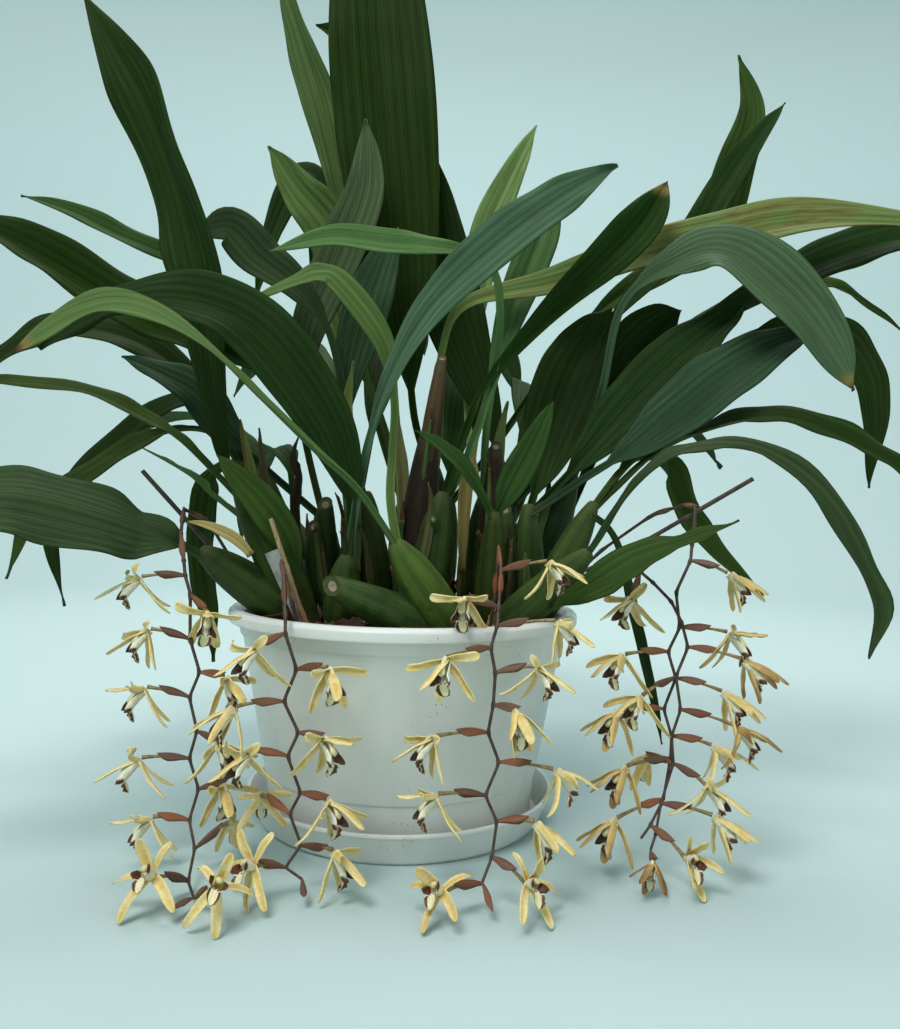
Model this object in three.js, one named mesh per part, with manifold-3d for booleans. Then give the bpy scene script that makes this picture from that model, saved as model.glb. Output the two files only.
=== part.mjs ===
// A coelogyne orchid in its white plastic pot, standing in the pot's saucer.
// Millimetres, +Z up. The origin is the centre of the saucer's underside.
import * as THREE from 'three';
import { mergeVertices } from 'three/addons/utils/BufferGeometryUtils.js';
import Module from 'manifold-3d';

const wasm = await Module();
wasm.setup();

// ---------------------------------------------------------------- driving dimensions

const GAP = 0.4; // clearance kept between pieces that rest on or in each other
const LOOSE_GAP = 0.6; // the same where both sides are faceted
const ROUND_SIDES = 24; // sides of the pot, the saucer and the medium

const SAUCER_BASE_RADIUS = 103;
const SAUCER_RIM_RADIUS = 114;
const SAUCER_HEIGHT = 23;
const SAUCER_WALL = 2.6;
const SAUCER_FLOOR = 3.2;
const SAUCER_CORNER = 2.5; // its base's rounded corner
const SAUCER_RIM_BAND = 2; // the upright band along its rim

const POT_BOTTOM = SAUCER_FLOOR + GAP;
const POT_BASE_RADIUS = 98;
const POT_STEP_RADIUS = 102;
const POT_STEP_HEIGHT = 36;
const POT_WALL_TOP_RADIUS = 119.5;
const POT_COLLAR_RADIUS = 121.5;
const POT_COLLAR_BOTTOM = 137;
const POT_RIM_BOTTOM = 145.5;
const POT_RIM_RADIUS = 130;
const POT_HEIGHT = 155;
const POT_WALL = 3;
const POT_FLOOR = 3.4;
const POT_EDGE = 2; // its worn edges, at the base and on the rim
const POT_STEP_LEDGE = 1.2; // how far the wall juts out over the foot
const POT_RIM_ROUNDING = 2.5;
const POT_MOUTH_DEPTH = 4; // the bevel inside the rim
const DRAIN_HOLE_RADIUS = 6;
const DRAIN_HOLE_SIDES = 8;
const DRAIN_HOLE_CIRCLE = 60;
const DRAIN_HOLES = 5;

const SOIL_EDGE_HEIGHT = 141;
const SOIL_CROWN_HEIGHT = 144.5;
const SOIL_CROWN_RADIUS = 50;

const BULB_SIDES = 8;
const BLADE_THICKNESS = 0.8;
const LEAF_BASE_WIDTH = 6; // width of a folded leaf stalk
const LEAF_BASE_SPACING = 3.6; // leaves of one bulb stand behind each other in its neck

const STEM_RADIUS_BELOW = 1.44; // of a raceme's stem where it leaves the soil
const STEM_RADIUS_AT_END = 0.69;
const SHEATH = { width: 6, depth: 3, overlap: 3 };
const BUD = { width: 5, depth: 4 };
const HUB_RADIUS = 2.6; // of a flower, and of its stalk and bract where they meet it
const SEPAL_WIDTH = 5.4;
const PETAL_WIDTH = 3.7;
const TEPAL_THICKNESS = 1.1;
const LIP_WIDTH = 11;
const COLUMN_LENGTH = 4;
const NOD = -0.75; // how far a hanging flower looks down for each millimetre that it looks ahead
const LOWEST_PETAL = 0.7; // what lies along the surface stays this much clear of it

const STICK_RADIUS = 1.75;
const LABEL_SIZE = [11, 1.2, 96];

// ---------------------------------------------------------------- solids and meshes

const vec = (point) => new THREE.Vector3(...point);

function solidOf(geometry) {
  const bare = geometry.index ? geometry.clone() : geometry;
  bare.deleteAttribute('normal');
  bare.deleteAttribute('uv');
  const merged = mergeVertices(bare, 1e-4);
  return new wasm.Manifold(new wasm.Mesh({
    numProp: 3,
    vertProperties: new Float32Array(merged.attributes.position.array),
    triVerts: new Uint32Array(merged.index.array),
  }));
}

function solidFrom(vertices, triangles) {
  return new wasm.Manifold(new wasm.Mesh({
    numProp: 3,
    vertProperties: new Float32Array(vertices.flat()),
    triVerts: new Uint32Array(triangles.flat()),
  }));
}

function geometryOf(solid) {
  const mesh = solid.getMesh();
  const geometry = new THREE.BufferGeometry();
  geometry.setAttribute('position', new THREE.BufferAttribute(new Float32Array(mesh.vertProperties), 3));
  geometry.setIndex(new THREE.BufferAttribute(new Uint32Array(mesh.triVerts), 1));
  return geometry;
}

const fuse = (solids) => wasm.Manifold.union(solids);
const largestOf = (solid) => solid.decompose().sort((one, other) => other.volume() - one.volume())[0];

// A round piece: the profile is a list of [radius, height] and is turned about Z.
function turned(profile) {
  const outline = profile.map(([radius, height]) => new THREE.Vector2(radius, height));
  const geometry = new THREE.LatheGeometry(outline, ROUND_SIDES);
  geometry.rotateX(Math.PI / 2);
  return solidOf(geometry);
}

// A smooth path through the points, even in t from 0 to 1.
function pathThrough(points) {
  const knots = points.map(vec);
  const last = knots.length - 1;
  const at = (index) => knots[Math.min(last, Math.max(0, index))];
  return (t) => {
    const along = Math.min(t, 0.999999) * last;
    const span = Math.floor(along);
    const f = along - span;
    const weights = [
      0.5 * (-f + 2 * f * f - f * f * f),
      0.5 * (2 - 5 * f * f + 3 * f * f * f),
      0.5 * (f + 4 * f * f - 3 * f * f * f),
      0.5 * (f * f * f - f * f),
    ];
    const point = new THREE.Vector3();
    weights.forEach((weight, k) => point.addScaledVector(at(span - 1 + k), weight));
    return point;
  };
}

// ---------------------------------------------------------------- pot, saucer and medium

function buildSaucer() {
  return turned([
    [0, 0],
    [SAUCER_BASE_RADIUS, 0],
    [SAUCER_BASE_RADIUS + SAUCER_CORNER, SAUCER_CORNER],
    [SAUCER_RIM_RADIUS, SAUCER_HEIGHT - SAUCER_RIM_BAND],
    [SAUCER_RIM_RADIUS, SAUCER_HEIGHT],
    [SAUCER_RIM_RADIUS - SAUCER_WALL, SAUCER_HEIGHT],
    [SAUCER_BASE_RADIUS + GAP, SAUCER_FLOOR],
    [0, SAUCER_FLOOR],
  ]);
}

const potInside = [
  [POT_WALL_TOP_RADIUS - POT_WALL + 1, POT_COLLAR_BOTTOM],
  [POT_STEP_RADIUS - POT_WALL, POT_STEP_HEIGHT],
  [POT_BASE_RADIUS - POT_WALL, POT_BOTTOM + POT_FLOOR],
];

function buildPot() {
  const body = turned([
    [0, POT_BOTTOM],
    [POT_BASE_RADIUS - POT_EDGE, POT_BOTTOM],
    [POT_BASE_RADIUS, POT_BOTTOM + POT_EDGE],
    [POT_STEP_RADIUS - POT_STEP_LEDGE, POT_STEP_HEIGHT],
    [POT_STEP_RADIUS, POT_STEP_HEIGHT + 1],
    [POT_WALL_TOP_RADIUS, POT_COLLAR_BOTTOM - 1],
    [POT_COLLAR_RADIUS, POT_COLLAR_BOTTOM],
    [POT_COLLAR_RADIUS, POT_RIM_BOTTOM],
    [POT_RIM_RADIUS, POT_RIM_BOTTOM],
    [POT_RIM_RADIUS, POT_HEIGHT - POT_EDGE],
    [POT_RIM_RADIUS - POT_RIM_ROUNDING, POT_HEIGHT],
    [POT_COLLAR_RADIUS + 1, POT_HEIGHT],
    [POT_COLLAR_RADIUS - POT_WALL, POT_HEIGHT - POT_MOUTH_DEPTH],
    ...potInside,
    [0, POT_BOTTOM + POT_FLOOR],
  ]);
  const holes = [];
  for (let k = 0; k < DRAIN_HOLES; k += 1) {
    const angle = (2 * Math.PI * k) / DRAIN_HOLES;
    const hole = new THREE.CylinderGeometry(
      DRAIN_HOLE_RADIUS, DRAIN_HOLE_RADIUS, 3 * POT_FLOOR, DRAIN_HOLE_SIDES,
    );
    hole.rotateX(Math.PI / 2);
    hole.translate(DRAIN_HOLE_CIRCLE, 0, POT_BOTTOM + 1);
    hole.rotateZ(angle);
    holes.push(solidOf(hole));
  }
  return body.subtract(fuse(holes));
}

// The bark and peat mix fills the pot to just under the rim, a little higher in the middle.
function buildMedium(feet) {
  const wall = potInside.map(([radius, height]) => [radius - LOOSE_GAP, height]).reverse();
  wall[0][1] += GAP;
  const body = turned([
    [0, POT_BOTTOM + POT_FLOOR + GAP],
    ...wall,
    [POT_COLLAR_RADIUS - POT_WALL - 2 * GAP, SOIL_EDGE_HEIGHT],
    [SOIL_CROWN_RADIUS, SOIL_CROWN_HEIGHT],
    [0, SOIL_CROWN_HEIGHT],
  ]);
  return body.subtract(fuse(feet));
}

// ---------------------------------------------------------------- shoots

// A pseudobulb: an oblong, ridged body from its foot to the neck that carries the leaves.
const BULB_STATIONS = [[0, 0.5], [0.33, 1], [0.74, 0.84], [1, 0.36]];
const BULB_RIDGE = 0.07;
const CUT_TOP = 0.5; // a cut bulb ends blunt, at this share of its radius

function buildBulb({ base, top, radius, cut = false }) {
  const foot = vec(base);
  const axis = vec(top).sub(foot);
  const along = axis.clone().normalize();
  const side = new THREE.Vector3(1, 0, 0).addScaledVector(along, -along.x).normalize();
  const across = along.clone().cross(side);
  const vertices = [];
  BULB_STATIONS.forEach(([t, share], station) => {
    const isTop = station === BULB_STATIONS.length - 1;
    const girth = radius * (cut && isTop ? CUT_TOP : share);
    const centre = foot.clone().addScaledVector(axis, t);
    for (let k = 0; k < BULB_SIDES; k += 1) {
      const angle = (2 * Math.PI * k) / BULB_SIDES;
      const reach = girth * (1 + (k % 2 ? -BULB_RIDGE : BULB_RIDGE));
      vertices.push(centre.clone()
        .addScaledVector(side, reach * Math.cos(angle))
        .addScaledVector(across, reach * Math.sin(angle))
        .toArray());
    }
  });
  const triangles = [];
  const last = (BULB_STATIONS.length - 1) * BULB_SIDES;
  for (let ring = 0; ring < last; ring += BULB_SIDES) {
    for (let k = 0; k < BULB_SIDES; k += 1) {
      const next = (k + 1) % BULB_SIDES;
      triangles.push([ring + k, ring + next, ring + BULB_SIDES + next]);
      triangles.push([ring + k, ring + BULB_SIDES + next, ring + BULB_SIDES + k]);
    }
  }
  for (let k = 1; k < BULB_SIDES - 1; k += 1) {
    triangles.push([0, k + 1, k], [last, last + k, last + k + 1]);
  }
  return solidFrom(vertices, triangles);
}

// The plain hole that a bulb's foot stands in: a cone with room round the foot, open above.
const HOLE_SIDES = 6;
const HOLE_LENGTH = 30;

function buildBulbHole({ base, top, radius }) {
  const foot = vec(base);
  const axis = vec(top).sub(foot);
  const [[, footShare], [t, share]] = BULB_STATIONS;
  const room = (1 + BULB_RIDGE) / Math.cos(Math.PI / HOLE_SIDES);
  const slope = ((share - footShare) * radius) / (t * axis.length());
  const bottomRadius = footShare * radius * room + GAP;
  const hole = new THREE.CylinderGeometry(
    bottomRadius + slope * room * HOLE_LENGTH, bottomRadius, HOLE_LENGTH, HOLE_SIDES,
  );
  hole.translate(0, HOLE_LENGTH / 2 - GAP, 0);
  const turn = new THREE.Quaternion().setFromUnitVectors(new THREE.Vector3(0, 1, 0), axis.normalize());
  hole.applyQuaternion(turn);
  hole.translate(...base);
  return solidOf(hole);
}

// A keeled blade, the same on both faces, drawn out to one point at the tip. A broad blade has a
// pleat on each side of its keel.
const KEELED = { across: [-1, 0, 1], height: [1, 0, 1] };
const PLEATED = { across: [-1, -0.5, 0, 0.5, 1], height: [1, 0.62, 0, 0.62, 1] };
const BROAD_LEAF = 50;
const LAST_RING = 0.94;
const NEARBY = 0.02; // how far along, either way, a blade's direction is taken
const STALK_FOLD = 0.7;
const TIP_POWER = 0.95; // 1 gives the tip straight edges, and less gives it rounder ones

// A leaf is a narrow stalk up to the share `stalk` of its way, and a blade beyond it. The blade is
// as broad as `width` where `widest` says.
function bladeWidth(t, width, stalk, widest) {
  if (t <= stalk) {
    return LEAF_BASE_WIDTH;
  }
  const b = (t - stalk) / (1 - stalk);
  const basePower = (TIP_POWER * widest) / (1 - widest);
  const shape = (b / widest) ** basePower * ((1 - b) / (1 - widest)) ** TIP_POWER;
  return Math.max(width * shape, LEAF_BASE_WIDTH * (1 - b));
}

function buildBlade({ points, width, stalk = 0.15, widest = 0.42, face, fold = 0.3, segments = 7 }) {
  const { across, height } = width >= BROAD_LEAF ? PLEATED : KEELED;
  const path = pathThrough(points);
  const facing = pathThrough(face);
  const vertices = [];
  for (let ring = 0; ring < segments; ring += 1) {
    const t = (LAST_RING * ring) / (segments - 1);
    const centre = path(t);
    const tangent = path(t + NEARBY).sub(path(Math.max(0, t - NEARBY))).normalize();
    const upper = facing(t);
    upper.addScaledVector(tangent, -upper.dot(tangent)).normalize();
    const side = upper.clone().cross(tangent);
    const half = bladeWidth(t, width, stalk, widest) / 2;
    const depth = half * (t < stalk ? STALK_FOLD : fold);
    const row = (offset) => across.map((share, k) => centre.clone()
      .addScaledVector(side, share * half)
      .addScaledVector(upper, height[k] * depth + offset)
      .toArray());
    vertices.push(...row(-BLADE_THICKNESS / 2), ...row(BLADE_THICKNESS / 2).reverse());
  }
  const edge = across.length;
  const count = 2 * edge;
  const triangles = [];
  for (let ring = 0; ring < segments - 1; ring += 1) {
    const a = ring * count;
    const b = a + count;
    for (let k = 0; k < edge - 1; k += 1) {
      const top = count - 1 - k;
      triangles.push([a + k, a + k + 1, b + k + 1], [a + k, b + k + 1, b + k]);
      triangles.push([a + top - 1, a + top, b + top - 1], [a + top, b + top, b + top - 1]);
    }
    for (const [k, next] of [[edge - 1, edge], [count - 1, 0]]) {
      triangles.push([a + k, a + next, b + next], [a + k, b + next, b + k]);
    }
  }
  for (let k = 0; k < edge - 1; k += 1) {
    const top = count - 1 - k;
    triangles.push([k, top, top - 1], [k, top - 1, k + 1]);
  }
  const tip = vertices.length;
  vertices.push(path(1).toArray());
  for (let k = 0; k < count; k += 1) {
    triangles.push([tip - count + k, tip - count + ((k + 1) % count), tip]);
  }
  return solidFrom(vertices, triangles);
}

// Directions that a leaf's upper face looks in. A leaf's `face` lists them from stalk to tip.
const FRONT = [0, -1, 0.25];
const FRONT_UP = [0, -0.8, 0.7];
const UP = [0, -0.15, 1];
const LEFT_FRONT = [-0.35, -1, 0.1];
const RIGHT_FRONT = [0.35, -1, 0.1];
const TURNED = [-1, -0.35, 0.1]; // where a leaf twists and shows its edge

// Each shoot: its bulbs, and the leaves that stand on them, from stalk to tip.
const SHOOTS = {
  // front, just inside the rim: a bulb leaning left, and a cut one lying beside it
  leafy_shoot_01: {
    bulbs: [
      { base: [42, -64, 134], top: [-2, -87, 205], radius: 15.5 },
      { base: [24, -72, 146], top: [-43, -92, 177], radius: 14, cut: true },
    ],
    leaves: [
      {
        points: [
          [2, -85, 198], [-26, -98, 239], [-52, -106, 263], [-87, -113, 296], [-122, -117, 328],
          [-163, -119, 349], [-198, -123, 343], [-234, -129, 318],
        ],
        width: 30, stalk: 0.4, widest: 0.7, face: [UP, FRONT_UP], segments: 8,
      },
      {
        points: [
          [0, -84, 198], [-8, -62, 234], [-10, -25, 271], [-10, -18, 309], [-20, -20, 352],
          [-52, -26, 392], [-66, -29, 397], [-84, -32, 390], [-121, -40, 373],
        ],
        width: 22, stalk: 0.4, face: [FRONT, FRONT_UP], segments: 10,
      },
    ],
  },
  // behind it: an upright bulb whose two leaves cross the middle, one left and one right
  leafy_shoot_02: {
    bulbs: [{ base: [-46, -34, 134], top: [-39, -48, 194], radius: 13.5 }],
    leaves: [
      {
        points: [
          [-39, -47, 188], [-37, -52, 234], [-48, -58, 275], [-72, -66, 315], [-105, -74, 350],
          [-142, -84, 362], [-178, -94, 358], [-204, -102, 343], [-229, -108, 324],
        ],
        width: 47, stalk: 0.12, face: [FRONT, FRONT_UP], segments: 9,
      },
      {
        points: [
          [-38, -48, 188], [-34, -51, 222], [-24, -54, 276], [-8, -52, 326], [16, -48, 370],
          [50, -46, 406], [85, -45, 436], [116, -47, 457], [145, -51, 472],
        ],
        width: 35, stalk: 0.15, widest: 0.66, face: [FRONT, FRONT], segments: 9,
      },
    ],
  },
  // left: a bulb lying over the rim, with a broad low leaf and a short folded one
  leafy_shoot_03: {
    bulbs: [
      { base: [-66, -46, 146], top: [-137, -62, 196], radius: 15 },
      { base: [-62, -44, 135], top: [-113, -62, 244], radius: 14.5 },
    ],
    leaves: [
      {
        points: [
          [-130, -61, 188], [-145, -75, 199], [-163, -92, 211], [-182, -108, 221], [-211, -128, 231],
          [-234, -142, 234], [-262, -155, 228], [-295, -165, 215], [-345, -172, 175],
        ],
        width: 52, stalk: 0.14, face: [FRONT_UP, FRONT_UP], segments: 8,
      },
      {
        points: [[-74, -58, 180], [-78, -66, 206], [-92, -75, 228], [-108, -80, 246], [-122, -83, 262]],
        width: 24, stalk: 0.02, face: [FRONT, FRONT], segments: 5,
      },
    ],
  },
  // left: the tall leaf that stands up to the left, and a small one
  leafy_shoot_04: {
    bulbs: [{ base: [-72, -10, 134], top: [-97, -20, 208], radius: 14 }],
    leaves: [
      {
        points: [
          [-95, -19, 202], [-124, -28, 247], [-132, -33, 268], [-141, -40, 332], [-146, -45, 380],
          [-155, -48, 422], [-168, -50, 463], [-188, -52, 511], [-207, -54, 544], [-230, -56, 583],
        ],
        width: 49, stalk: 0.12, widest: 0.6,
        face: [FRONT, FRONT, FRONT, LEFT_FRONT, TURNED, LEFT_FRONT, FRONT], segments: 10,
      },
      {
        points: [[-96, -20, 203], [-137, -35, 235], [-150, -50, 249], [-178, -70, 267]],
        width: 14, stalk: 0.2, face: [UP, UP], segments: 4,
      },
    ],
  },
  // middle left: a wide folded leaf far to the left, and one with a curled tip
  leafy_shoot_05: {
    bulbs: [{ base: [-20, 18, 134], top: [-35, 12, 236], radius: 15 }],
    leaves: [
      {
        points: [
          [-35, 12, 230], [-53, 5, 280], [-90, -8, 322], [-156, -18, 350], [-201, -26, 368],
          [-252, -36, 397], [-291, -45, 417], [-330, -52, 434],
        ],
        width: 40, stalk: 0.2, widest: 0.55, face: [FRONT_UP, FRONT_UP],
      },
      {
        points: [
          [-34, 13, 230], [-47, 22, 290], [-65, 25, 365], [-89, 22, 399], [-121, 18, 423],
          [-144, 14, 444], [-167, 8, 436],
        ],
        width: 36, stalk: 0.3, widest: 0.6, face: [FRONT, FRONT], segments: 8,
      },
    ],
  },
  // left edge: a narrow arching leaf, a hanging one and a low drooping one
  leafy_shoot_06: {
    bulbs: [{ base: [-92, 14, 134], top: [-112, 8, 222], radius: 13.5 }],
    leaves: [
      {
        points: [
          [-112, 8, 216], [-143, 0, 249], [-170, -12, 277], [-195, -20, 292], [-233, -32, 309],
          [-288, -46, 312], [-319, -52, 303],
        ],
        width: 18, face: [UP, FRONT_UP],
      },
      {
        points: [
          [-112, 9, 216], [-133, 20, 256], [-154, 24, 250], [-163, 26, 200], [-156, 24, 145],
          [-150, 20, 105],
        ],
        width: 27, face: [UP, LEFT_FRONT],
      },
      {
        points: [
          [-112, 10, 216], [-156, 48, 282], [-200, 40, 286], [-246, 16, 252], [-284, 0, 218],
          [-301, -6, 169],
        ],
        width: 24, stalk: 0.3, face: [UP, LEFT_FRONT],
      },
    ],
  },
  // middle: a narrow leaf to the far left, and an upright grey-green one
  leafy_shoot_07: {
    bulbs: [{ base: [-28, 56, 134], top: [-37, 55, 240], radius: 15 }],
    leaves: [
      {
        points: [
          [-37, 54, 234], [-63, 50, 301], [-100, 40, 359], [-131, 30, 393], [-157, 22, 409],
          [-188, 14, 421], [-225, 4, 434], [-256, -6, 447], [-290, -18, 455],
        ],
        width: 20, stalk: 0.4, widest: 0.6, face: [FRONT, FRONT_UP], segments: 8,
      },
      {
        points: [
          [-38, 56, 234], [-76, 62, 285], [-93, 60, 322], [-86, 52, 375], [-62, 46, 431],
          [-41, 42, 487], [-42, 40, 543],
        ],
        width: 40, stalk: 0.3, widest: 0.55, face: [FRONT, FRONT],
      },
      {
        points: [
          [-37, 53, 234], [-51, 42, 290], [-50, 36, 330], [-42, 34, 370], [-30, 35, 412],
          [-14, 36, 455],
        ],
        width: 38, stalk: 0.2, widest: 0.6, face: [FRONT, FRONT],
      },
    ],
  },
  // middle: the broadest leaf, standing straight up, and the long one to the right
  leafy_shoot_08: {
    bulbs: [{ base: [26, 50, 134], top: [19, 50, 262], radius: 15 }],
    leaves: [
      {
        points: [
          [18, 51, 256], [2, 56, 303], [-6, 62, 374], [-16, 66, 447], [-27, 70, 532],
          [-35, 74, 611], [-42, 80, 690], [-52, 92, 770], [-64, 110, 835],
        ],
        width: 88, stalk: 0.16, widest: 0.5, face: [FRONT, FRONT], fold: 0.12, segments: 11,
      },
      {
        points: [
          [20, 49, 256], [23, 44, 294], [24, 34, 357], [45, 26, 394], [115, 20, 410], [184, 14, 431],
          [237, 8, 442], [295, 2, 453], [367, -8, 451], [395, -12, 445],
        ],
        width: 44, stalk: 0.22, widest: 0.74, face: [FRONT, FRONT_UP], segments: 10,
      },
    ],
  },
  // front of the middle: a dark folded leaf to the right, and a slim one to the left
  leafy_shoot_09: {
    bulbs: [{ base: [12, -28, 134], top: [28, -32, 239], radius: 15 }],
    leaves: [
      {
        points: [
          [28, -32, 233], [34, -30, 258], [46, -26, 295], [55, -20, 319], [97, -10, 371],
          [142, -6, 414], [172, -4, 446], [193, -2, 482],
        ],
        width: 34, stalk: 0.15, widest: 0.78, face: [FRONT, FRONT], fold: 0.55, segments: 9,
      },
      {
        points: [
          [29, -31, 233], [47, -22, 273], [62, -16, 326], [67, -14, 371], [62, -14, 405],
          [43, -14, 420], [10, -12, 426], [-17, -10, 428], [-62, -10, 431], [-107, -14, 418],
        ],
        width: 21, stalk: 0.45, widest: 0.62, face: [FRONT, FRONT], segments: 10,
      },
    ],
  },
  // right of the middle: two upright leaves
  leafy_shoot_10: {
    bulbs: [{ base: [54, 28, 134], top: [60, 31, 240], radius: 13.5 }],
    leaves: [
      {
        points: [
          [59, 31, 234], [49, 80, 284], [45, 112, 345], [48, 117, 410], [60, 118, 480],
          [80, 118, 530], [103, 118, 578],
        ],
        width: 31, stalk: 0.3, widest: 0.5, face: [FRONT, RIGHT_FRONT],
      },
      {
        points: [
          [60, 30, 234], [60, 33, 285], [67, 36, 342], [82, 40, 400], [103, 44, 459],
          [110, 46, 499],
        ],
        width: 31, stalk: 0.25, widest: 0.62, face: [FRONT, RIGHT_FRONT],
      },
    ],
  },
  // front: a young shoot with two short leaves in a V
  leafy_shoot_11: {
    bulbs: [{ base: [62, -30, 134], top: [65, -44, 226], radius: 11.5 }],
    leaves: [
      {
        points: [[64, -43, 222], [46, -52, 253], [29, -58, 270], [8, -64, 283]],
        width: 14, face: [FRONT_UP, FRONT_UP], segments: 5,
      },
      {
        points: [[65, -43, 222], [74, -50, 243], [88, -56, 272], [102, -62, 305]],
        width: 22, face: [FRONT, FRONT], segments: 5,
      },
    ],
  },
  // right of the middle: two bulbs grown together, one of them cut, with dark leaves
  leafy_shoot_12: {
    bulbs: [
      { base: [94, -6, 134], top: [92, -9, 232], radius: 13 },
      { base: [82, -2, 134], top: [74, -14, 230], radius: 10.5, cut: true },
    ],
    leaves: [
      {
        points: [
          [92, -9, 226], [100, 2, 253], [112, 24, 291], [129, 36, 338], [144, 41, 370],
          [160, 43, 396],
        ],
        width: 56, stalk: 0.12, widest: 0.5, face: [FRONT, FRONT],
      },
      {
        points: [
          [93, -9, 226], [120, -6, 255], [150, -6, 290], [187, -4, 330], [224, -4, 366],
          [254, -4, 390],
        ],
        width: 45, stalk: 0.2, widest: 0.5, face: [FRONT, FRONT_UP],
      },
      {
        points: [
          [93, -10, 226], [130, -18, 252], [163, -22, 274], [197, -25, 301], [232, -27, 330],
          [266, -28, 352], [296, -26, 364],
        ],
        width: 49, stalk: 0.25, widest: 0.5, face: [FRONT_UP, FRONT_UP],
      },
    ],
  },
  // right: a bulb leaning out, with the grey arching leaf and a dark one behind it
  leafy_shoot_13: {
    bulbs: [{ base: [92, 28, 134], top: [129, 24, 258], radius: 14 }],
    leaves: [
      {
        points: [
          [128, 24, 252], [138, 12, 286], [148, 8, 323], [160, -8, 387], [198, -20, 416],
          [230, -30, 419], [266, -40, 387], [294, -46, 353], [315, -52, 319],
        ],
        width: 47, stalk: 0.3, widest: 0.5, face: [FRONT, FRONT_UP], segments: 9,
      },
      {
        points: [[129, 27, 252], [143, 39, 295], [166, 44, 343], [193, 44, 378], [216, 38, 394]],
        width: 49, widest: 0.5, face: [FRONT, FRONT], segments: 6,
      },
    ],
  },
  // front right: a bulb by the rim with the leaf that arches down to the right
  leafy_shoot_14: {
    bulbs: [{ base: [62, -52, 137], top: [126, -75, 201], radius: 13.5 }],
    leaves: [
      {
        points: [
          [123, -74, 196], [134, -79, 214], [149, -84, 241], [171, -88, 263], [196, -92, 273],
          [232, -100, 270], [268, -108, 243], [291, -114, 203], [303, -118, 172], [294, -120, 142],
        ],
        width: 22, stalk: 0.15, widest: 0.55, face: [UP, FRONT_UP], segments: 9,
      },
      {
        points: [[103, -72, 164], [132, -92, 182], [156, -100, 198], [185, -108, 211], [214, -114, 226]],
        width: 34, stalk: 0.05, face: [FRONT_UP, UP], segments: 5,
      },
    ],
  },
  // right: three leaves, the upper two wide and flat, the lower one folded and hanging
  leafy_shoot_15: {
    bulbs: [{ base: [88, -34, 134], top: [136, -34, 234], radius: 12.5 }],
    leaves: [
      {
        points: [
          [134, -34, 228], [153, -26, 246], [185, -30, 276], [230, -34, 295], [271, -40, 300],
          [315, -46, 284], [349, -50, 264], [382, -54, 236],
        ],
        width: 29, stalk: 0.15, widest: 0.6, face: [UP, FRONT_UP], segments: 8,
      },
      {
        points: [
          [135, -33, 228], [161, -16, 261], [180, -2, 272], [199, 6, 262], [218, 8, 225],
          [244, 6, 196], [274, 2, 168],
        ],
        width: 24, stalk: 0.15, face: [UP, FRONT], fold: 0.6, segments: 8,
      },
      {
        points: [[134, -35, 228], [152, -42, 208], [165, -54, 150], [176, -58, 104], [184, -58, 69]],
        width: 9, face: [UP, RIGHT_FRONT], segments: 6,
      },
    ],
  },
  // back right: the tall leaf with a narrow tip, and one bent back
  leafy_shoot_16: {
    bulbs: [{ base: [22, 92, 134], top: [32, 94, 238], radius: 13.5 }],
    leaves: [
      {
        points: [
          [32, 93, 232], [75, 96, 291], [144, 98, 390], [211, 90, 442], [251, 80, 470],
          [268, 72, 523], [280, 68, 572], [267, 66, 616],
        ],
        width: 36, stalk: 0.3, face: [FRONT, LEFT_FRONT], segments: 8,
      },
      {
        points: [
          [32, 97, 232], [34, 118, 296], [42, 142, 346], [58, 190, 382], [84, 260, 395],
          [112, 330, 360],
        ],
        width: 58, stalk: 0.1, face: [UP, UP],
      },
    ],
  },
  // back right: two long leaves to the right
  leafy_shoot_17: {
    bulbs: [{ base: [56, 60, 134], top: [84, 66, 240], radius: 13.5 }],
    leaves: [
      {
        points: [
          [85, 66, 234], [125, 78, 325], [173, 70, 401], [228, 60, 459], [252, 54, 499],
          [277, 50, 539], [299, 46, 568],
        ],
        width: 27, stalk: 0.3, face: [FRONT, LEFT_FRONT],
      },
      {
        points: [
          [84, 67, 234], [76, 80, 270], [63, 90, 315], [42, 95, 369], [26, 97, 422], [17, 98, 474],
          [12, 96, 540],
        ],
        width: 56, stalk: 0.15, widest: 0.6, face: [FRONT, FRONT],
      },
      {
        points: [
          [86, 66, 234], [148, 60, 300], [218, 48, 371], [294, 36, 418], [345, 28, 440],
          [390, 22, 452], [426, 16, 457],
        ],
        width: 40, stalk: 0.3, widest: 0.55, face: [FRONT, FRONT_UP],
      },
    ],
  },
  // right: a leaf that bends down at its end, and a narrow one over it
  leafy_shoot_18: {
    bulbs: [{ base: [76, 50, 134], top: [132, 70, 228], radius: 13 }],
    leaves: [
      {
        points: [
          [131, 70, 222], [175, 70, 308], [252, 50, 365], [304, 36, 384], [335, 26, 375],
          [356, 20, 345], [362, 16, 306], [358, 12, 253],
        ],
        width: 33, stalk: 0.35, face: [FRONT_UP, FRONT], segments: 8,
      },
      {
        points: [
          [132, 71, 222], [179, 94, 328], [244, 84, 397], [322, 66, 425], [360, 58, 417],
          [402, 50, 384],
        ],
        width: 20, stalk: 0.3, face: [UP, FRONT_UP],
      },
    ],
  },
  // back: an upright leaf and a long yellowish strap
  leafy_shoot_19: {
    bulbs: [{ base: [-8, 92, 134], top: [-8, 98, 236], radius: 13.5 }],
    leaves: [
      {
        points: [
          [-8, 97, 230], [-26, 102, 298], [-59, 98, 385], [-73, 92, 462], [-104, 88, 504],
          [-130, 84, 539],
        ],
        width: 44, stalk: 0.3, face: [FRONT, LEFT_FRONT],
      },
      {
        points: [
          [-8, 99, 230], [-39, 112, 325], [-62, 118, 450], [-76, 116, 529], [-90, 112, 590],
          [-108, 108, 642], [-130, 104, 700],
        ],
        width: 33, stalk: 0.2, widest: 0.72, face: [FRONT, FRONT], segments: 8,
      },
      {
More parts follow.
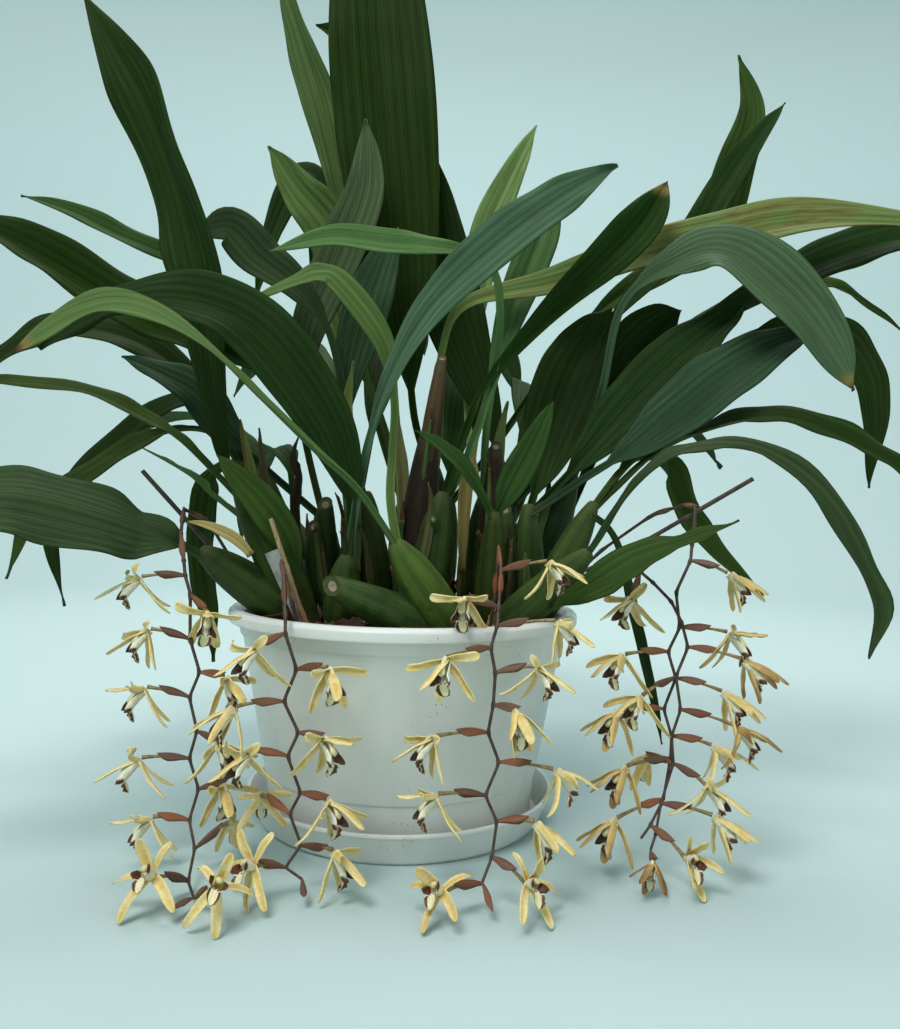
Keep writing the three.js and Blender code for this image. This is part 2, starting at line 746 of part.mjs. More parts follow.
        points: [
          [-8, 101, 230], [-22, 130, 360], [-26, 136, 500], [-34, 130, 604], [-60, 124, 648],
          [-98, 118, 664],
        ],
        width: 36, stalk: 0.2, widest: 0.6, face: [FRONT, FRONT],
      },
    ],
  },
  // back left: a leaf that arches over behind, and a grey-green one to the left
  leafy_shoot_20: {
    bulbs: [{ base: [-62, 52, 134], top: [-74, 60, 227], radius: 13.5 }],
    leaves: [
      {
        points: [
          [-74, 60, 221], [-99, 86, 321], [-90, 116, 422], [-94, 134, 508], [-111, 138, 534],
          [-136, 134, 483], [-149, 124, 415],
        ],
        width: 31, stalk: 0.3, face: [UP, FRONT], segments: 9,
      },
      {
        points: [
          [-75, 59, 221], [-127, 44, 266], [-149, 34, 289], [-170, 28, 316], [-198, 22, 332],
          [-226, 16, 343],
        ],
        width: 33, stalk: 0.25, face: [FRONT, FRONT_UP],
      },
    ],
  },
  // left: a leaf that arches down beside the pot, and a dark one beyond the others
  leafy_shoot_21: {
    bulbs: [{ base: [-82, 44, 134], top: [-124, 56, 210], radius: 12.5 }],
    leaves: [
      {
        points: [
          [-122, 56, 204], [-140, 66, 254], [-173, 62, 312], [-214, 54, 302], [-256, 42, 260],
          [-284, 32, 206], [-272, 26, 145],
        ],
        width: 28, stalk: 0.15, face: [UP, LEFT_FRONT], segments: 8,
      },
      {
        points: [
          [-123, 57, 204], [-149, 82, 285], [-200, 78, 343], [-247, 68, 369], [-295, 56, 370],
          [-336, 46, 346], [-371, 38, 308],
        ],
        width: 38, stalk: 0.25, face: [FRONT_UP, FRONT_UP],
      },
    ],
  },
  // back: shoots on the far side of the pot
  leafy_shoot_22: {
    bulbs: [{ base: [-40, 90, 134], top: [-50, 102, 230], radius: 13.5 }],
    leaves: [
      {
        points: [[-52, 102, 224], [-74, 134, 320], [-112, 184, 380], [-160, 240, 390], [-210, 290, 350]],
        width: 42, stalk: 0.2, face: [UP, UP],
      },
      {
        points: [[-49, 103, 224], [-38, 146, 320], [-28, 206, 400], [-14, 270, 430], [0, 340, 410]],
        width: 46, stalk: 0.2, face: [UP, UP],
      },
    ],
  },
  leafy_shoot_23: {
    bulbs: [{ base: [48, 76, 134], top: [88, 116, 222], radius: 13 }],
    leaves: [
      {
        points: [[89, 117, 216], [130, 150, 300], [190, 190, 340], [260, 225, 330], [320, 250, 280]],
        width: 44, stalk: 0.2, face: [UP, UP],
      },
      {
        points: [[88, 118, 216], [102, 162, 320], [113, 224, 360], [120, 290, 350], [124, 350, 290]],
        width: 40, stalk: 0.2, face: [UP, UP],
      },
    ],
  },
  leafy_shoot_24: {
    bulbs: [{ base: [-58, 70, 134], top: [-104, 100, 214], radius: 12 }],
    leaves: [
      {
        points: [[-105, 100, 208], [-150, 125, 280], [-210, 150, 310], [-280, 170, 290], [-330, 185, 240]],
        width: 42, stalk: 0.2, face: [UP, UP],
      },
      {
        points: [[-104, 101, 208], [-120, 150, 268], [-150, 205, 285], [-182, 262, 250], [-200, 300, 190]],
        width: 36, stalk: 0.2, face: [UP, UP],
      },
    ],
  },
  // old bulbs that have dropped their leaves
  old_bulb_middle: {
    bulbs: [{ base: [2, 14, 134], top: [15, 8, 284], radius: 15.5, cut: true }],
    leaves: [
      {
        points: [[15, 8, 278], [18, 10, 310], [24, 12, 346]],
        width: 9, stalk: 0.8, face: [FRONT, FRONT], segments: 4,
      },
    ],
  },
  old_bulbs_left: {
    bulbs: [
      { base: [-66, 24, 134], top: [-64, 12, 231], radius: 12, cut: true },
      { base: [-60, 14, 134], top: [-70, -4, 214], radius: 9, cut: true },
    ],
    leaves: [],
  },
};

function buildShoot(bulbs, leaves) {
  const depthOf = ({ points }) => points[1][1];
  const fromFront = [...leaves].sort((one, other) => depthOf(one) - depthOf(other));
  const blades = fromFront.map((leaf, rank) => {
    const [[x, y, z], ...rest] = leaf.points;
    const shift = (rank - (leaves.length - 1) / 2) * LEAF_BASE_SPACING;
    return buildBlade({ ...leaf, points: [[x, y + shift, z], ...rest] });
  });
  return largestOf(fuse([...bulbs.map((bulb) => buildBulb(bulb)), ...blades]));
}

// ---------------------------------------------------------------- racemes

// A tapering rod through the points, with a diamond section.
function buildRod(points, radiusAtStart, radiusAtEnd) {
  const knots = points.map(vec);
  const last = knots.length - 1;
  const vertices = [];
  const up = new THREE.Vector3(0, -1, 0);
  knots.forEach((knot, index) => {
    const before = knots[Math.max(0, index - 1)];
    const after = knots[Math.min(last, index + 1)];
    const tangent = after.clone().sub(before).normalize();
    const side = up.clone().cross(tangent).normalize();
    const depth = tangent.clone().cross(side);
    const radius = radiusAtStart + ((radiusAtEnd - radiusAtStart) * index) / last;
    for (const [a, b] of [[1, 0], [0, 1], [-1, 0], [0, -1]]) {
      const point = knot.clone().addScaledVector(side, a * radius);
      vertices.push(point.addScaledVector(depth, b * radius).toArray());
    }
  });
  const triangles = [[0, 3, 2], [0, 2, 1]];
  for (let ring = 0; ring < last * 4; ring += 4) {
    for (let k = 0; k < 4; k += 1) {
      const next = (k + 1) % 4;
      triangles.push([ring + k, ring + next, ring + 4 + next], [ring + k, ring + 4 + next, ring + 4 + k]);
    }
  }
  const end = last * 4;
  triangles.push([end, end + 1, end + 2], [end, end + 2, end + 3]);
  return solidFrom(vertices, triangles);
}

// A slim folded blade on three sides, used for sheaths and buds: its width at each share of its
// length, up to its point.
const SPIKE_STATIONS = [[0, 0.4], [0.5, 1]];

function buildSpike(from, direction, upper, length, width, depth) {
  const tangent = direction.clone().normalize();
  const normal = upper.clone().addScaledVector(tangent, -upper.dot(tangent)).normalize();
  const side = normal.clone().cross(tangent);
  const vertices = [];
  for (const [t, share] of SPIKE_STATIONS) {
    const centre = from.clone().addScaledVector(tangent, t * length);
    for (const [a, b] of [[-0.5, 0], [0.5, 0], [0, 1]]) {
      const point = centre.clone().addScaledVector(side, a * share * width);
      vertices.push(point.addScaledVector(normal, b * share * depth).toArray());
    }
  }
  vertices.push(from.clone().addScaledVector(tangent, length).toArray());
  return solidFrom(vertices, [
    [0, 2, 1],
    [0, 1, 4], [0, 4, 3], [1, 2, 5], [1, 5, 4], [2, 0, 3], [2, 3, 5],
    [3, 4, 6], [4, 5, 6], [5, 3, 6],
  ]);
}

// The rays of a flower, going round from the dorsal sepal. `middle` and `tip` say how far out from
// the flower's axis, and how far forward along it, the ray's broadest part and its tip are.
const RAYS = [
  { angle: 90, width: SEPAL_WIDTH, middle: [10.6, 9.9], tip: [21.2, 19.8] },
  { angle: 150, width: PETAL_WIDTH, middle: [13.9, 1.8], tip: [26.5, -4.8] },
  { angle: 232, width: SEPAL_WIDTH, middle: [14.4, 1.6], tip: [28.9, 0.2] },
  { angle: 270, width: LIP_WIDTH, middle: [4, 13], tip: [13, 18] },
  { angle: 308, width: SEPAL_WIDTH, middle: [14.4, 1.6], tip: [28.9, 0.2] },
  { angle: 30, width: PETAL_WIDTH, middle: [13.9, 1.8], tip: [26.5, -4.8] },
];
const RAY_POINTS = 5;

// One flower: a star of five narrow tepals and the broader lip, on a stalk that tapers to `root`,
// where it springs. The flower looks along `facing`, its dorsal sepal stands on the side of
// `dorsal`, and `size` is its share of the full size.
function buildFlower(root, centre, facing, dorsal, size) {
  const front = facing.clone().normalize();
  const up = dorsal.clone().addScaledVector(front, -dorsal.dot(front)).normalize();
  const right = up.clone().cross(front);
  const at = (angle, [reach, ahead], aside = 0) => {
    const turn = THREE.MathUtils.degToRad(angle);
    const [cos, sin] = [Math.cos(turn), Math.sin(turn)];
    return new THREE.Vector3()
      .addScaledVector(right, size * (reach * cos - aside * sin))
      .addScaledVector(up, size * (reach * sin + aside * cos))
      .addScaledVector(front, size * ahead);
  };
  const star = [at(0, [0, COLUMN_LENGTH])];
  const triangles = [];
  const count = RAYS.length;
  const stalkEnd = 1 + RAY_POINTS * count;
  RAYS.forEach(({ angle, width, middle, tip }, k) => {
    const previous = RAYS[(k + count - 1) % count].angle;
    const gap = ((angle - previous + 360) % 360) / 2;
    const [reach, ahead] = middle;
    const share = TEPAL_THICKNESS / Math.hypot(reach, ahead);
    star.push(
      at(angle - gap, [HUB_RADIUS, 0]),
      at(angle, middle, -width / 2),
      at(angle, tip),
      at(angle, middle, width / 2),
      at(angle, [reach - share * ahead, ahead + share * reach]),
    );
    const [start, low, end, high, ridge] = [1, 2, 3, 4, 5].map((n) => RAY_POINTS * k + n);
    const far = 1 + RAY_POINTS * ((k + 1) % count);
    triangles.push(
      [0, start, ridge], [start, low, ridge], [low, end, ridge],
      [end, high, ridge], [high, far, ridge], [far, 0, ridge],
      [start, far, low], [low, far, high], [low, high, end],
      [start, stalkEnd, far],
    );
  });
  const lowest = Math.min(...star.map((point) => point.z));
  const hub = centre.clone();
  hub.z = Math.max(hub.z, LOWEST_PETAL - lowest);
  const vertices = star.map((point) => point.add(hub).toArray());
  return solidFrom([...vertices, root.toArray()], triangles);
}

function buildRaceme({ stem, sheaths, flowers, buds }) {
  const solids = [buildRod(stem, STEM_RADIUS_BELOW, STEM_RADIUS_AT_END)];
  const upward = new THREE.Vector3(0, 0, 1);
  for (const index of sheaths) {
    const from = vec(stem[index]);
    const direction = vec(stem[index + 1]).sub(from);
    const length = direction.length() + SHEATH.overlap;
    solids.push(buildSpike(from, direction, vec(FRONT_UP), length, SHEATH.width, SHEATH.depth));
  }
  for (const [node, x, y, z, azimuth, lean, size = 1, rise = NOD] of flowers) {
    const turn = THREE.MathUtils.degToRad(azimuth);
    const facing = new THREE.Vector3(Math.cos(turn), Math.sin(turn), rise);
    const axis = facing.clone().normalize();
    const dorsal = upward.clone().applyAxisAngle(axis, THREE.MathUtils.degToRad(lean));
    solids.push(buildFlower(vec(stem[node]), new THREE.Vector3(x, y, z), facing, dorsal, size));
  }
  for (const [node, x, y, z] of buds) {
    const from = vec(stem[node]);
    const reach = new THREE.Vector3(x, y, z).sub(from);
    solids.push(buildSpike(from, reach, upward, reach.length(), BUD.width, BUD.depth));
  }
  return largestOf(fuse(solids));
}

// Each raceme: its stem from the soil over the rim and down, the stem points that carry brown
// sheaths, the flowers, and the buds as [stem point, x, y, z]. A flower is [stem point, x, y, z,
// azimuth it looks in, lean to one side, size, rise of its look]; the last two can be left out.
const LEFT_RACEME = {
  stem: [
    [-98, -27, 134], [-118, -30, 178], [-140, -38, 216], [-151, -60, 225], [-145, -84, 208],
    [-140, -92, 191], [-138, -95, 182], [-134, -96, 170], [-133, -98, 141], [-126, -99, 120],
    [-132, -100, 104], [-126, -102, 83], [-130, -104, 66], [-123, -106, 47], [-127, -111, 29],
    [-119, -125, 17], [-115, -150, 8], [-107, -165, 5],
  ],
  sheaths: [2, 3, 4],
  flowers: [
    [6, -166, -98, 180, 215, 10], [7, -120, -106, 159, 285, -10], [8, -158, -102, 147, 220, 15],
    [9, -108, -105, 118, 320, -15], [10, -159, -104, 110, 215, 10], [11, -111, -108, 78, 320, -10],
    [12, -160, -108, 66, 205, 15], [13, -108, -106, 50, 300, -20], [14, -148, -120, 33, 220, 20],
    [15, -102, -112, 28, 80, 0, 0.75], [16, -128, -172, 14, 250, 30, 0.9, 0.9],
    [17, -88, -188, 14, 290, -30, 0.9, 0.9],
  ],
  buds: [[17, -112, -186, 9]],
};
const CENTRE_LEFT_RACEME = {
  stem: [
    [-62, -82, 134], [-70, -86, 165], [-77, -88, 192], [-72, -104, 182], [-68, -117, 160],
    [-67, -122, 150], [-59, -124, 128], [-66, -127, 109], [-56, -130, 91], [-62, -132, 77],
    [-53, -135, 56], [-59, -137, 44], [-51, -141, 27], [-59, -147, 16], [-48, -153, 12],
  ],
  sheaths: [1, 2, 3],
  flowers: [
    [5, -83, -130, 141, 230, 10], [6, -38, -135, 131, 300, -10], [7, -94, -134, 106, 220, 10],
    [8, -40, -138, 90, 320, -10], [9, -84, -138, 80, 230, 10], [10, -36, -142, 54, 320, -15],
    [11, -79, -124, 50, 100, 0, 0.85], [12, -30, -152, 28, 325, -20],
    [13, -74, -162, 18, 240, 25, 0.9, 0.5],
  ],
  buds: [[14, -44, -168, 8]],
};
const CENTRE_RIGHT_RACEME = {
  stem: [
    [60, -72, 134], [64, -76, 170], [66, -80, 204], [67, -96, 190], [65, -112, 168],
    [64, -118, 157], [60, -123, 144], [63, -126, 129], [62, -129, 110], [59, -132, 94],
    [66, -135, 77], [58, -138, 58], [65, -142, 44], [62, -150, 26], [56, -160, 15],
  ],
  sheaths: [1, 2, 3],
  flowers: [
    [3, 97, -100, 196, 320, -10], [4, 44, -116, 173, 255, 5], [5, 100, -124, 161, 335, -10],
    [6, 33, -142, 140, 255, 10], [7, 88, -132, 134, 320, -10], [8, 74, -138, 109, 295, 0],
    [9, 27, -138, 92, 205, 10], [10, 99, -142, 75, 350, -10], [11, 29, -146, 60, 205, 15],
    [12, 87, -151, 47, 320, -15], [13, 81, -170, 20, 300, -30, 0.9, 0.5],
    [14, 33, -174, 16, 235, 30, 0.9, 0.8],
  ],
  buds: [[14, 61, -180, 8]],
};
const RIGHT_OUTER_RACEME = {
  stem: [
    [106, 6, 134], [112, 8, 160], [150, 6, 200], [185, -2, 227], [206, -14, 236], [211, -30, 235],
    [205, -50, 222], [199, -66, 208], [196, -74, 198], [185, -80, 177], [187, -84, 154],
    [179, -86, 138], [184, -88, 121], [176, -90, 101], [181, -92, 84], [180, -94, 70],
    [174, -102, 46], [164, -110, 32], [157, -116, 26],
  ],
  sheaths: [3, 4, 6],
  flowers: [
    [8, 219, -84, 190, 320, -10], [10, 217, -92, 152, 325, -10], [11, 149, -92, 136, 215, 10],
    [12, 213, -96, 114, 320, -15], [13, 145, -96, 100, 220, 10], [14, 206, -100, 80, 335, -10],
    [15, 150, -102, 66, 215, 10], [16, 142, -112, 36, 220, 15], [17, 181, -130, 20, 290, -30, 0.9, 0.3],
  ],
  buds: [],
};
const RIGHT_INNER_RACEME = {
  stem: [
    [98, -53, 134], [103, -52, 160], [112, -53, 180], [138, -60, 194], [154, -68, 194],
    [162, -73, 190], [170, -77, 183], [181, -84, 171], [187, -88, 158], [191, -90, 142],
    [183, -92, 123], [186, -94, 102], [180, -96, 85], [181, -98, 68], [172, -104, 44],
    [167, -112, 27], [162, -120, 20],
  ],
  sheaths: [2, 3],
  flowers: [
    [5, 155, -82, 172, 220, 14], [9, 224, -100, 136, 335, -10], [10, 158, -104, 112, 220, 10],
    [11, 219, -106, 94, 325, -10], [13, 167, -86, 68, 90, 0, 0.9], [13, 199, -112, 58, 320, -10],
    [14, 201, -120, 42, 335, -15], [16, 160, -136, 20, 240, 0, 0.75],
  ],
  buds: [],
};

// ---------------------------------------------------------------- label, sticks and old stalk

function buildStick(from, to, grown = 0) {
  const axis = vec(to).sub(vec(from));
  const geometry = new THREE.CylinderGeometry(
    STICK_RADIUS + grown, STICK_RADIUS + grown, axis.length() + 2 * grown, BULB_SIDES,
  );
  const turn = new THREE.Quaternion().setFromUnitVectors(new THREE.Vector3(0, 1, 0), axis.normalize());
  geometry.applyQuaternion(turn);
  const middle = vec(from).add(vec(to)).multiplyScalar(0.5);
  geometry.translate(...middle.toArray());
  return solidOf(geometry);
}
const LEFT_STICK = [[-84, -14, 132], [-192, -28, 252]];
const RIGHT_STICK = [[72, 16.5, 138], [251, -35, 256]];

// The label leans to the left, with its lower end in the medium.
const LABEL_TOP = [-86.5, -73, 198];
const LABEL_LEAN = Math.atan2(18, 42);

function buildLabel(grown = 0) {
  const [width, thickness, length] = LABEL_SIZE;
  const geometry = new THREE.BoxGeometry(width + 2 * grown, thickness + 2 * grown, length + 2 * grown);
  geometry.translate(0, 0, -length / 2);
  geometry.rotateY(-LABEL_LEAN);
  geometry.translate(...LABEL_TOP);
  return solidOf(geometry);
}

const OLD_STALK = [[-52, -80, 134], [-64, -80, 157], [-75, -81, 188], [-86, -82, 220]];
const OLD_STALK_RADIUS = 2;
const OLD_STALK_END_RADIUS = 1.6;

// ---------------------------------------------------------------- assembly

const COLOURS = {
  plastic: { color: 0xe9ebe8, roughness: 0.4, metalness: 0 },
  soil: { color: 0x2b211a, roughness: 0.95, metalness: 0 },
  leaf: { color: 0x3d5f35, roughness: 0.5, metalness: 0 },
  oldBulb: { color: 0x4a4430, roughness: 0.7, metalness: 0 },
  flower: { color: 0xc8ad62, roughness: 0.6, metalness: 0 },
  stick: { color: 0x33271f, roughness: 0.7, metalness: 0 },
};
const plant = new THREE.Group();

function addPiece(name, solid, look) {
  const mesh = new THREE.Mesh(geometryOf(solid), new THREE.MeshStandardMaterial(COLOURS[look]));
  mesh.name = name;
  plant.add(mesh);
}

const racemes = {
  raceme_left: [LEFT_RACEME],
  raceme_centre_left: [CENTRE_LEFT_RACEME],
  raceme_centre_right: [CENTRE_RIGHT_RACEME],
  raceme_pair_right: [RIGHT_OUTER_RACEME, RIGHT_INNER_RACEME],
};
const grownRod = (points, radius) => buildRod(points.slice(0, 2), radius + LOOSE_GAP, radius + LOOSE_GAP);
const holes = [
  ...Object.values(SHOOTS).flatMap(({ bulbs }) => bulbs.map((bulb) => buildBulbHole(bulb))),
  ...Object.values(racemes).flat().map(({ stem }) => grownRod(stem, STEM_RADIUS_BELOW)),
  grownRod(OLD_STALK, OLD_STALK_RADIUS),
  buildStick(...LEFT_STICK, GAP),
  buildStick(...RIGHT_STICK, GAP),
  buildLabel(GAP),
];

addPiece('saucer', buildSaucer(), 'plastic');
addPiece('pot', buildPot(), 'plastic');
addPiece('growing_medium', buildMedium(holes), 'soil');
for (const [name, { bulbs, leaves }] of Object.entries(SHOOTS)) {
  addPiece(name, buildShoot(bulbs, leaves), name.startsWith('old') ? 'oldBulb' : 'leaf');
}
for (const [name, members] of Object.entries(racemes)) {
  addPiece(name, fuse(members.map((raceme) => buildRaceme(raceme))), 'flower');
}
addPiece('old_flower_stalk', buildRod(OLD_STALK, OLD_STALK_RADIUS, OLD_STALK_END_RADIUS), 'stick');
addPiece('plant_label', buildLabel(), 'plastic');
addPiece('support_stick_left', buildStick(...LEFT_STICK), 'stick');
addPiece('support_stick_right', buildStick(...RIGHT_STICK), 'stick');

export default plant;
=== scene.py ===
"""A coelogyne orchid in its white plastic pot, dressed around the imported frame."""

import math
import random
from collections import namedtuple

import bpy
import numpy as np
from mathutils import Matrix, Vector, noise


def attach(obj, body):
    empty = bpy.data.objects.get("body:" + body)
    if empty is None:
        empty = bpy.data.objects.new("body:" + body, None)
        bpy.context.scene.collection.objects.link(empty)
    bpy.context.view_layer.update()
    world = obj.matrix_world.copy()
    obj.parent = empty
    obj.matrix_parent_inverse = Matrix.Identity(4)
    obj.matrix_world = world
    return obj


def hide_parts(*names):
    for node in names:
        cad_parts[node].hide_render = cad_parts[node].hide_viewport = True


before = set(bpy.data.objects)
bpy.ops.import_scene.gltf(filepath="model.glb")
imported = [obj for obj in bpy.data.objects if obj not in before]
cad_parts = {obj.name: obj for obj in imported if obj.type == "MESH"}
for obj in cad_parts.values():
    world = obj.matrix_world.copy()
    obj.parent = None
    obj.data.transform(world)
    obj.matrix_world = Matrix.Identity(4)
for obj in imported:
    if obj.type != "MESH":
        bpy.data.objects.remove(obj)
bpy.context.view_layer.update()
MM = 0.001  # sizes are in millimetres, and this turns them into Blender's metres


# ---- The viewpoint ----
# The eye is a hand's breadth above the pot's rim and at arm's length from it, and the camera is
# held a little askew.
EYE = (0.033, -0.637, 0.227)
EYE_TURN = (math.radians(89.83), math.radians(-1.3), 0)
LENS = 29.21
NEAREST_SEEN = 0.01

bpy.ops.object.camera_add(location=EYE, rotation=EYE_TURN)
camera = bpy.context.object
camera.data.lens = LENS
camera.data.clip_start = NEAREST_SEEN
bpy.context.scene.camera = camera


# ---- The room ----
# A matt sheet of pale blue-grey paper lies on the floor and sweeps up all round, with no corner.
# One large soft lamp lights the plant from above and before it, and one from behind. A weaker one
# fills the shadows, and the last lights the sheet behind the plant.
FLOOR_RADIUS = 1.9
SWEEP_RADIUS = 1.3
SWEEP_STEPS = 10
BACKDROP_HEIGHT = 4.2
BACKDROP_SIDES = 96
BACKDROP_COLOUR = (0.485, 0.61, 0.605, 1)
PLANT = (0, 0, 0.25)
LAMPS = {  # place, what it is aimed at, size in metres, power in watts
    "key lamp": ((-0.7, -1.4, 2.4), PLANT, 1.1, 50),
    "fill lamp": ((1.4, -2.0, 1.0), PLANT, 1.6, 7),
    "top lamp": ((0.3, 0.8, 3.0), PLANT, 2.0, 36),
    "backdrop lamp": ((0, 0.9, 2.3), (0, 3.0, 0.5), 1.3, 33),
}
ROOM_LIGHT = (0.93, 0.97, 1.0, 1)
ROOM_LIGHT_STRENGTH = 0.22

COLOUR, PLACE, NUMBER = range(3)  # an attribute's outputs


class Wire:
    """A socket in a material's node tree, on which Python's own operators work."""

    def __init__(self, tree, socket=None):
        self.tree = tree
        self.socket = socket

    def node(self, kind, settings, sockets, output=0):
        """Adds a node: its settings are set first, and then its sockets get values or links."""
        made = self.tree.nodes.new("ShaderNode" + kind)
        for name, value in settings.items():
            setattr(made, name, value)
        for name, value in sockets.items():
            if isinstance(value, Wire):
                self.tree.links.new(value.socket, made.inputs[name])
            else:
                made.inputs[name].default_value = value
        return Wire(self.tree, made.outputs[output]) if made.outputs else None

    def maths(self, operation, first, second=0.0):
        return self.node("Math", {"operation": operation}, {0: first, 1: second})

    def __add__(self, other):
        return self.maths("ADD", self, other)

    def __radd__(self, other):
        return self.maths("ADD", other, self)

    def __sub__(self, other):
        return self.maths("SUBTRACT", self, other)

    def __rsub__(self, other):
        return self.maths("SUBTRACT", other, self)

    def __mul__(self, other):
        return self.maths("MULTIPLY", self, other)

    def __rmul__(self, other):
        return self.maths("MULTIPLY", other, self)

    def __abs__(self):
        return self.maths("ABSOLUTE", self)

    def cosine(self):
        return self.maths("COSINE", self)

    def largest(self, other):
        return self.maths("MAXIMUM", self, other)

    def over(self, start, end):
        """0 where the value is under start, 1 where it is past end, and smooth between them."""
        span = {"From Min": start, "From Max": end}
        return self.node("MapRange", {"interpolation_type": "SMOOTHSTEP"}, {"Value": self, **span})

    def blend(self, bottom, top, kind="MIX"):
        """The bottom colour where the value is 0, and the top colour where it is 1."""
        bottom, top = (tone if isinstance(tone, Wire) else (*tone, 1) for tone in (bottom, top))
        settings = {"data_type": "RGBA", "blend_type": kind}
        return self.node("Mix", settings, {0: self, 6: bottom, 7: top}, output=2)

    def painted(self, *coats, kind="MIX"):
        """This colour under coats, each with its mask, how much it covers there, and its tone."""
        colour = self
        for mask, cover, tone in coats:
            colour = (mask * cover).blend(colour, tone, kind)
        return colour

    def shaded(self, *coats):
        """This colour under coats whose tones are multiplied into it."""
        return self.painted(*coats, kind="MULTIPLY")

    def stretched(self, scale):
        """A place, stretched by three factors."""
        return self.node("VectorMath", {"operation": "MULTIPLY"}, {0: self, 1: scale})

    def clouds(self, scale, detail=3.0, roughness=0.5):
        """Soft noise from 0 to 1 at a place, with scale spots to the unit."""
        sockets = {"Vector": self, "Scale": scale, "Detail": detail, "Roughness": roughness}
        return self.node("TexNoise", {}, sockets)

    def attribute(self, name, output=NUMBER):
        """What the piece's own mesh says, as a colour, a place or a number."""
        return self.node("Attribute", {"attribute_name": name}, {}, output)

    def height(self):
        """How high a place is."""
        return self.node("SeparateXYZ", {}, {0: self}, output=2)

    def bump(self, strength):
        """Relief, where the value is a height in millimetres."""
        return self.node("Bump", {}, {"Height": self, "Distance": MM, "Strength": strength})


def start_material(name):
    """A new empty material, and the places on its piece that its patterns start from."""
    material = bpy.data.materials.new(name)
    material.use_nodes = True
    material.node_tree.nodes.clear()
    place = Wire(material.node_tree).node("TexCoord", {}, {}, output=3)
    return material, place


def finish_material(place, **sockets):
    """Ends a material in one Principled shader, whose socket names have _ for each space."""
    named = {name.replace("_", " "): value for name, value in sockets.items()}
    shader = place.node("BsdfPrincipled", {}, named)
    place.node("OutputMaterial", {}, {"Surface": shader})


def apply_modifier(piece, kind, **settings):
    """Adds one modifier to the piece and applies it."""
    modifier = piece.modifiers.new(kind.title(), kind)
    for name, value in settings.items():
        setattr(modifier, name, value)
    bpy.context.view_layer.objects.active = piece
    bpy.ops.object.modifier_apply(modifier=modifier.name)


bpy.ops.object.select_all(action="DESELECT")
bpy.ops.mesh.primitive_circle_add(vertices=BACKDROP_SIDES, radius=FLOOR_RADIUS, fill_type="NGON")
room = bpy.context.object
room.name = "backdrop"
bpy.ops.object.mode_set(mode="EDIT")
radius, height = FLOOR_RADIUS, 0.0
for step in range(1, SWEEP_STEPS + 1):
    turn = math.pi / 2 * step / SWEEP_STEPS
    next_radius = FLOOR_RADIUS + SWEEP_RADIUS * math.sin(turn)
    next_height = SWEEP_RADIUS * (1 - math.cos(turn))
    bpy.ops.mesh.select_all(action="DESELECT")
    bpy.ops.mesh.select_mode(type="EDGE")
    bpy.ops.mesh.select_non_manifold()
    bpy.ops.mesh.extrude_edges_move(TRANSFORM_OT_translate={"value": (0, 0, next_height - height)})
    bpy.ops.transform.resize(value=(next_radius / radius, next_radius / radius, 1))
    radius, height = next_radius, next_height
bpy.ops.mesh.select_all(action="DESELECT")
bpy.ops.mesh.select_non_manifold()
bpy.ops.mesh.extrude_edges_move(TRANSFORM_OT_translate={"value": (0, 0, BACKDROP_HEIGHT - height)})
bpy.ops.mesh.select_all(action="SELECT")
bpy.ops.mesh.normals_make_consistent(inside=True)
bpy.ops.object.mode_set(mode="OBJECT")
bpy.ops.object.shade_smooth()
paper, place = start_material("pale backdrop paper")
finish_material(place, Base_Color=BACKDROP_COLOUR, Roughness=0.9, Specular_IOR_Level=0.1)
room.data.materials.append(paper)

for name, (spot, aim, size, power) in LAMPS.items():
    facing = (Vector(aim) - Vector(spot)).to_track_quat("-Z", "Y").to_euler()
    bpy.ops.object.light_add(type="AREA", location=spot, rotation=facing)
    lamp = bpy.context.object
    lamp.name = name
    lamp.data.size = size
    lamp.data.energy = power
room_light = bpy.data.worlds.new("soft room light")
room_light.use_nodes = True
background = room_light.node_tree.nodes["Background"]
background.inputs["Color"].default_value = ROOM_LIGHT
background.inputs["Strength"].default_value = ROOM_LIGHT_STRENGTH
bpy.context.scene.world = room_light
bpy.context.scene.view_settings.view_transform = "Standard"


# ---- Saucer ----
# A shallow round dish moulded in white plastic, with a thin flared wall. It stands on the floor,
# and the pot stands in it.
SAUCER_BASE = 103
SAUCER_RIM = 114
SAUCER_HEIGHT = 23
SAUCER_FLOOR = 3.2
ROUND_SIDES = 128
PLASTIC_WHITE = (0.725, 0.735, 0.70)
PLASTIC_SMUDGED = (0.63, 0.64, 0.61)
LOW_DARKENING_REACH = 60  # how high up the wall it is darker towards the bottom


def turn_piece(name, profile, rounding):
    """A round closed piece, drawn out of a flat disc along its profile of radii and heights."""
    bpy.ops.object.select_all(action="DESELECT")
    radius, height = profile[0]
    bpy.ops.mesh.primitive_circle_add(
        vertices=ROUND_SIDES, radius=radius * MM, location=(0, 0, height * MM), fill_type="NGON"
    )
    bpy.ops.object.transform_apply(location=True)
    piece = bpy.context.object
    piece.name = name
    bpy.ops.object.mode_set(mode="EDIT")
    bpy.ops.mesh.select_mode(type="FACE")
    for next_radius, next_height in profile[1:]:
        rise = (0, 0, (next_height - height) * MM)
        bpy.ops.mesh.extrude_region_move(TRANSFORM_OT_translate={"value": rise})
        share = next_radius / radius
        bpy.ops.transform.resize(value=(share, share, 1))
        radius, height = next_radius, next_height
    bpy.ops.mesh.select_all(action="SELECT")
    bpy.ops.mesh.normals_make_consistent(inside=False)
    bpy.ops.object.mode_set(mode="OBJECT")
    apply_modifier(piece, "BEVEL", width=rounding * MM, segments=3, angle_limit=math.radians(20))
    bpy.ops.object.shade_smooth_by_angle(angle=math.radians(35))
    return piece


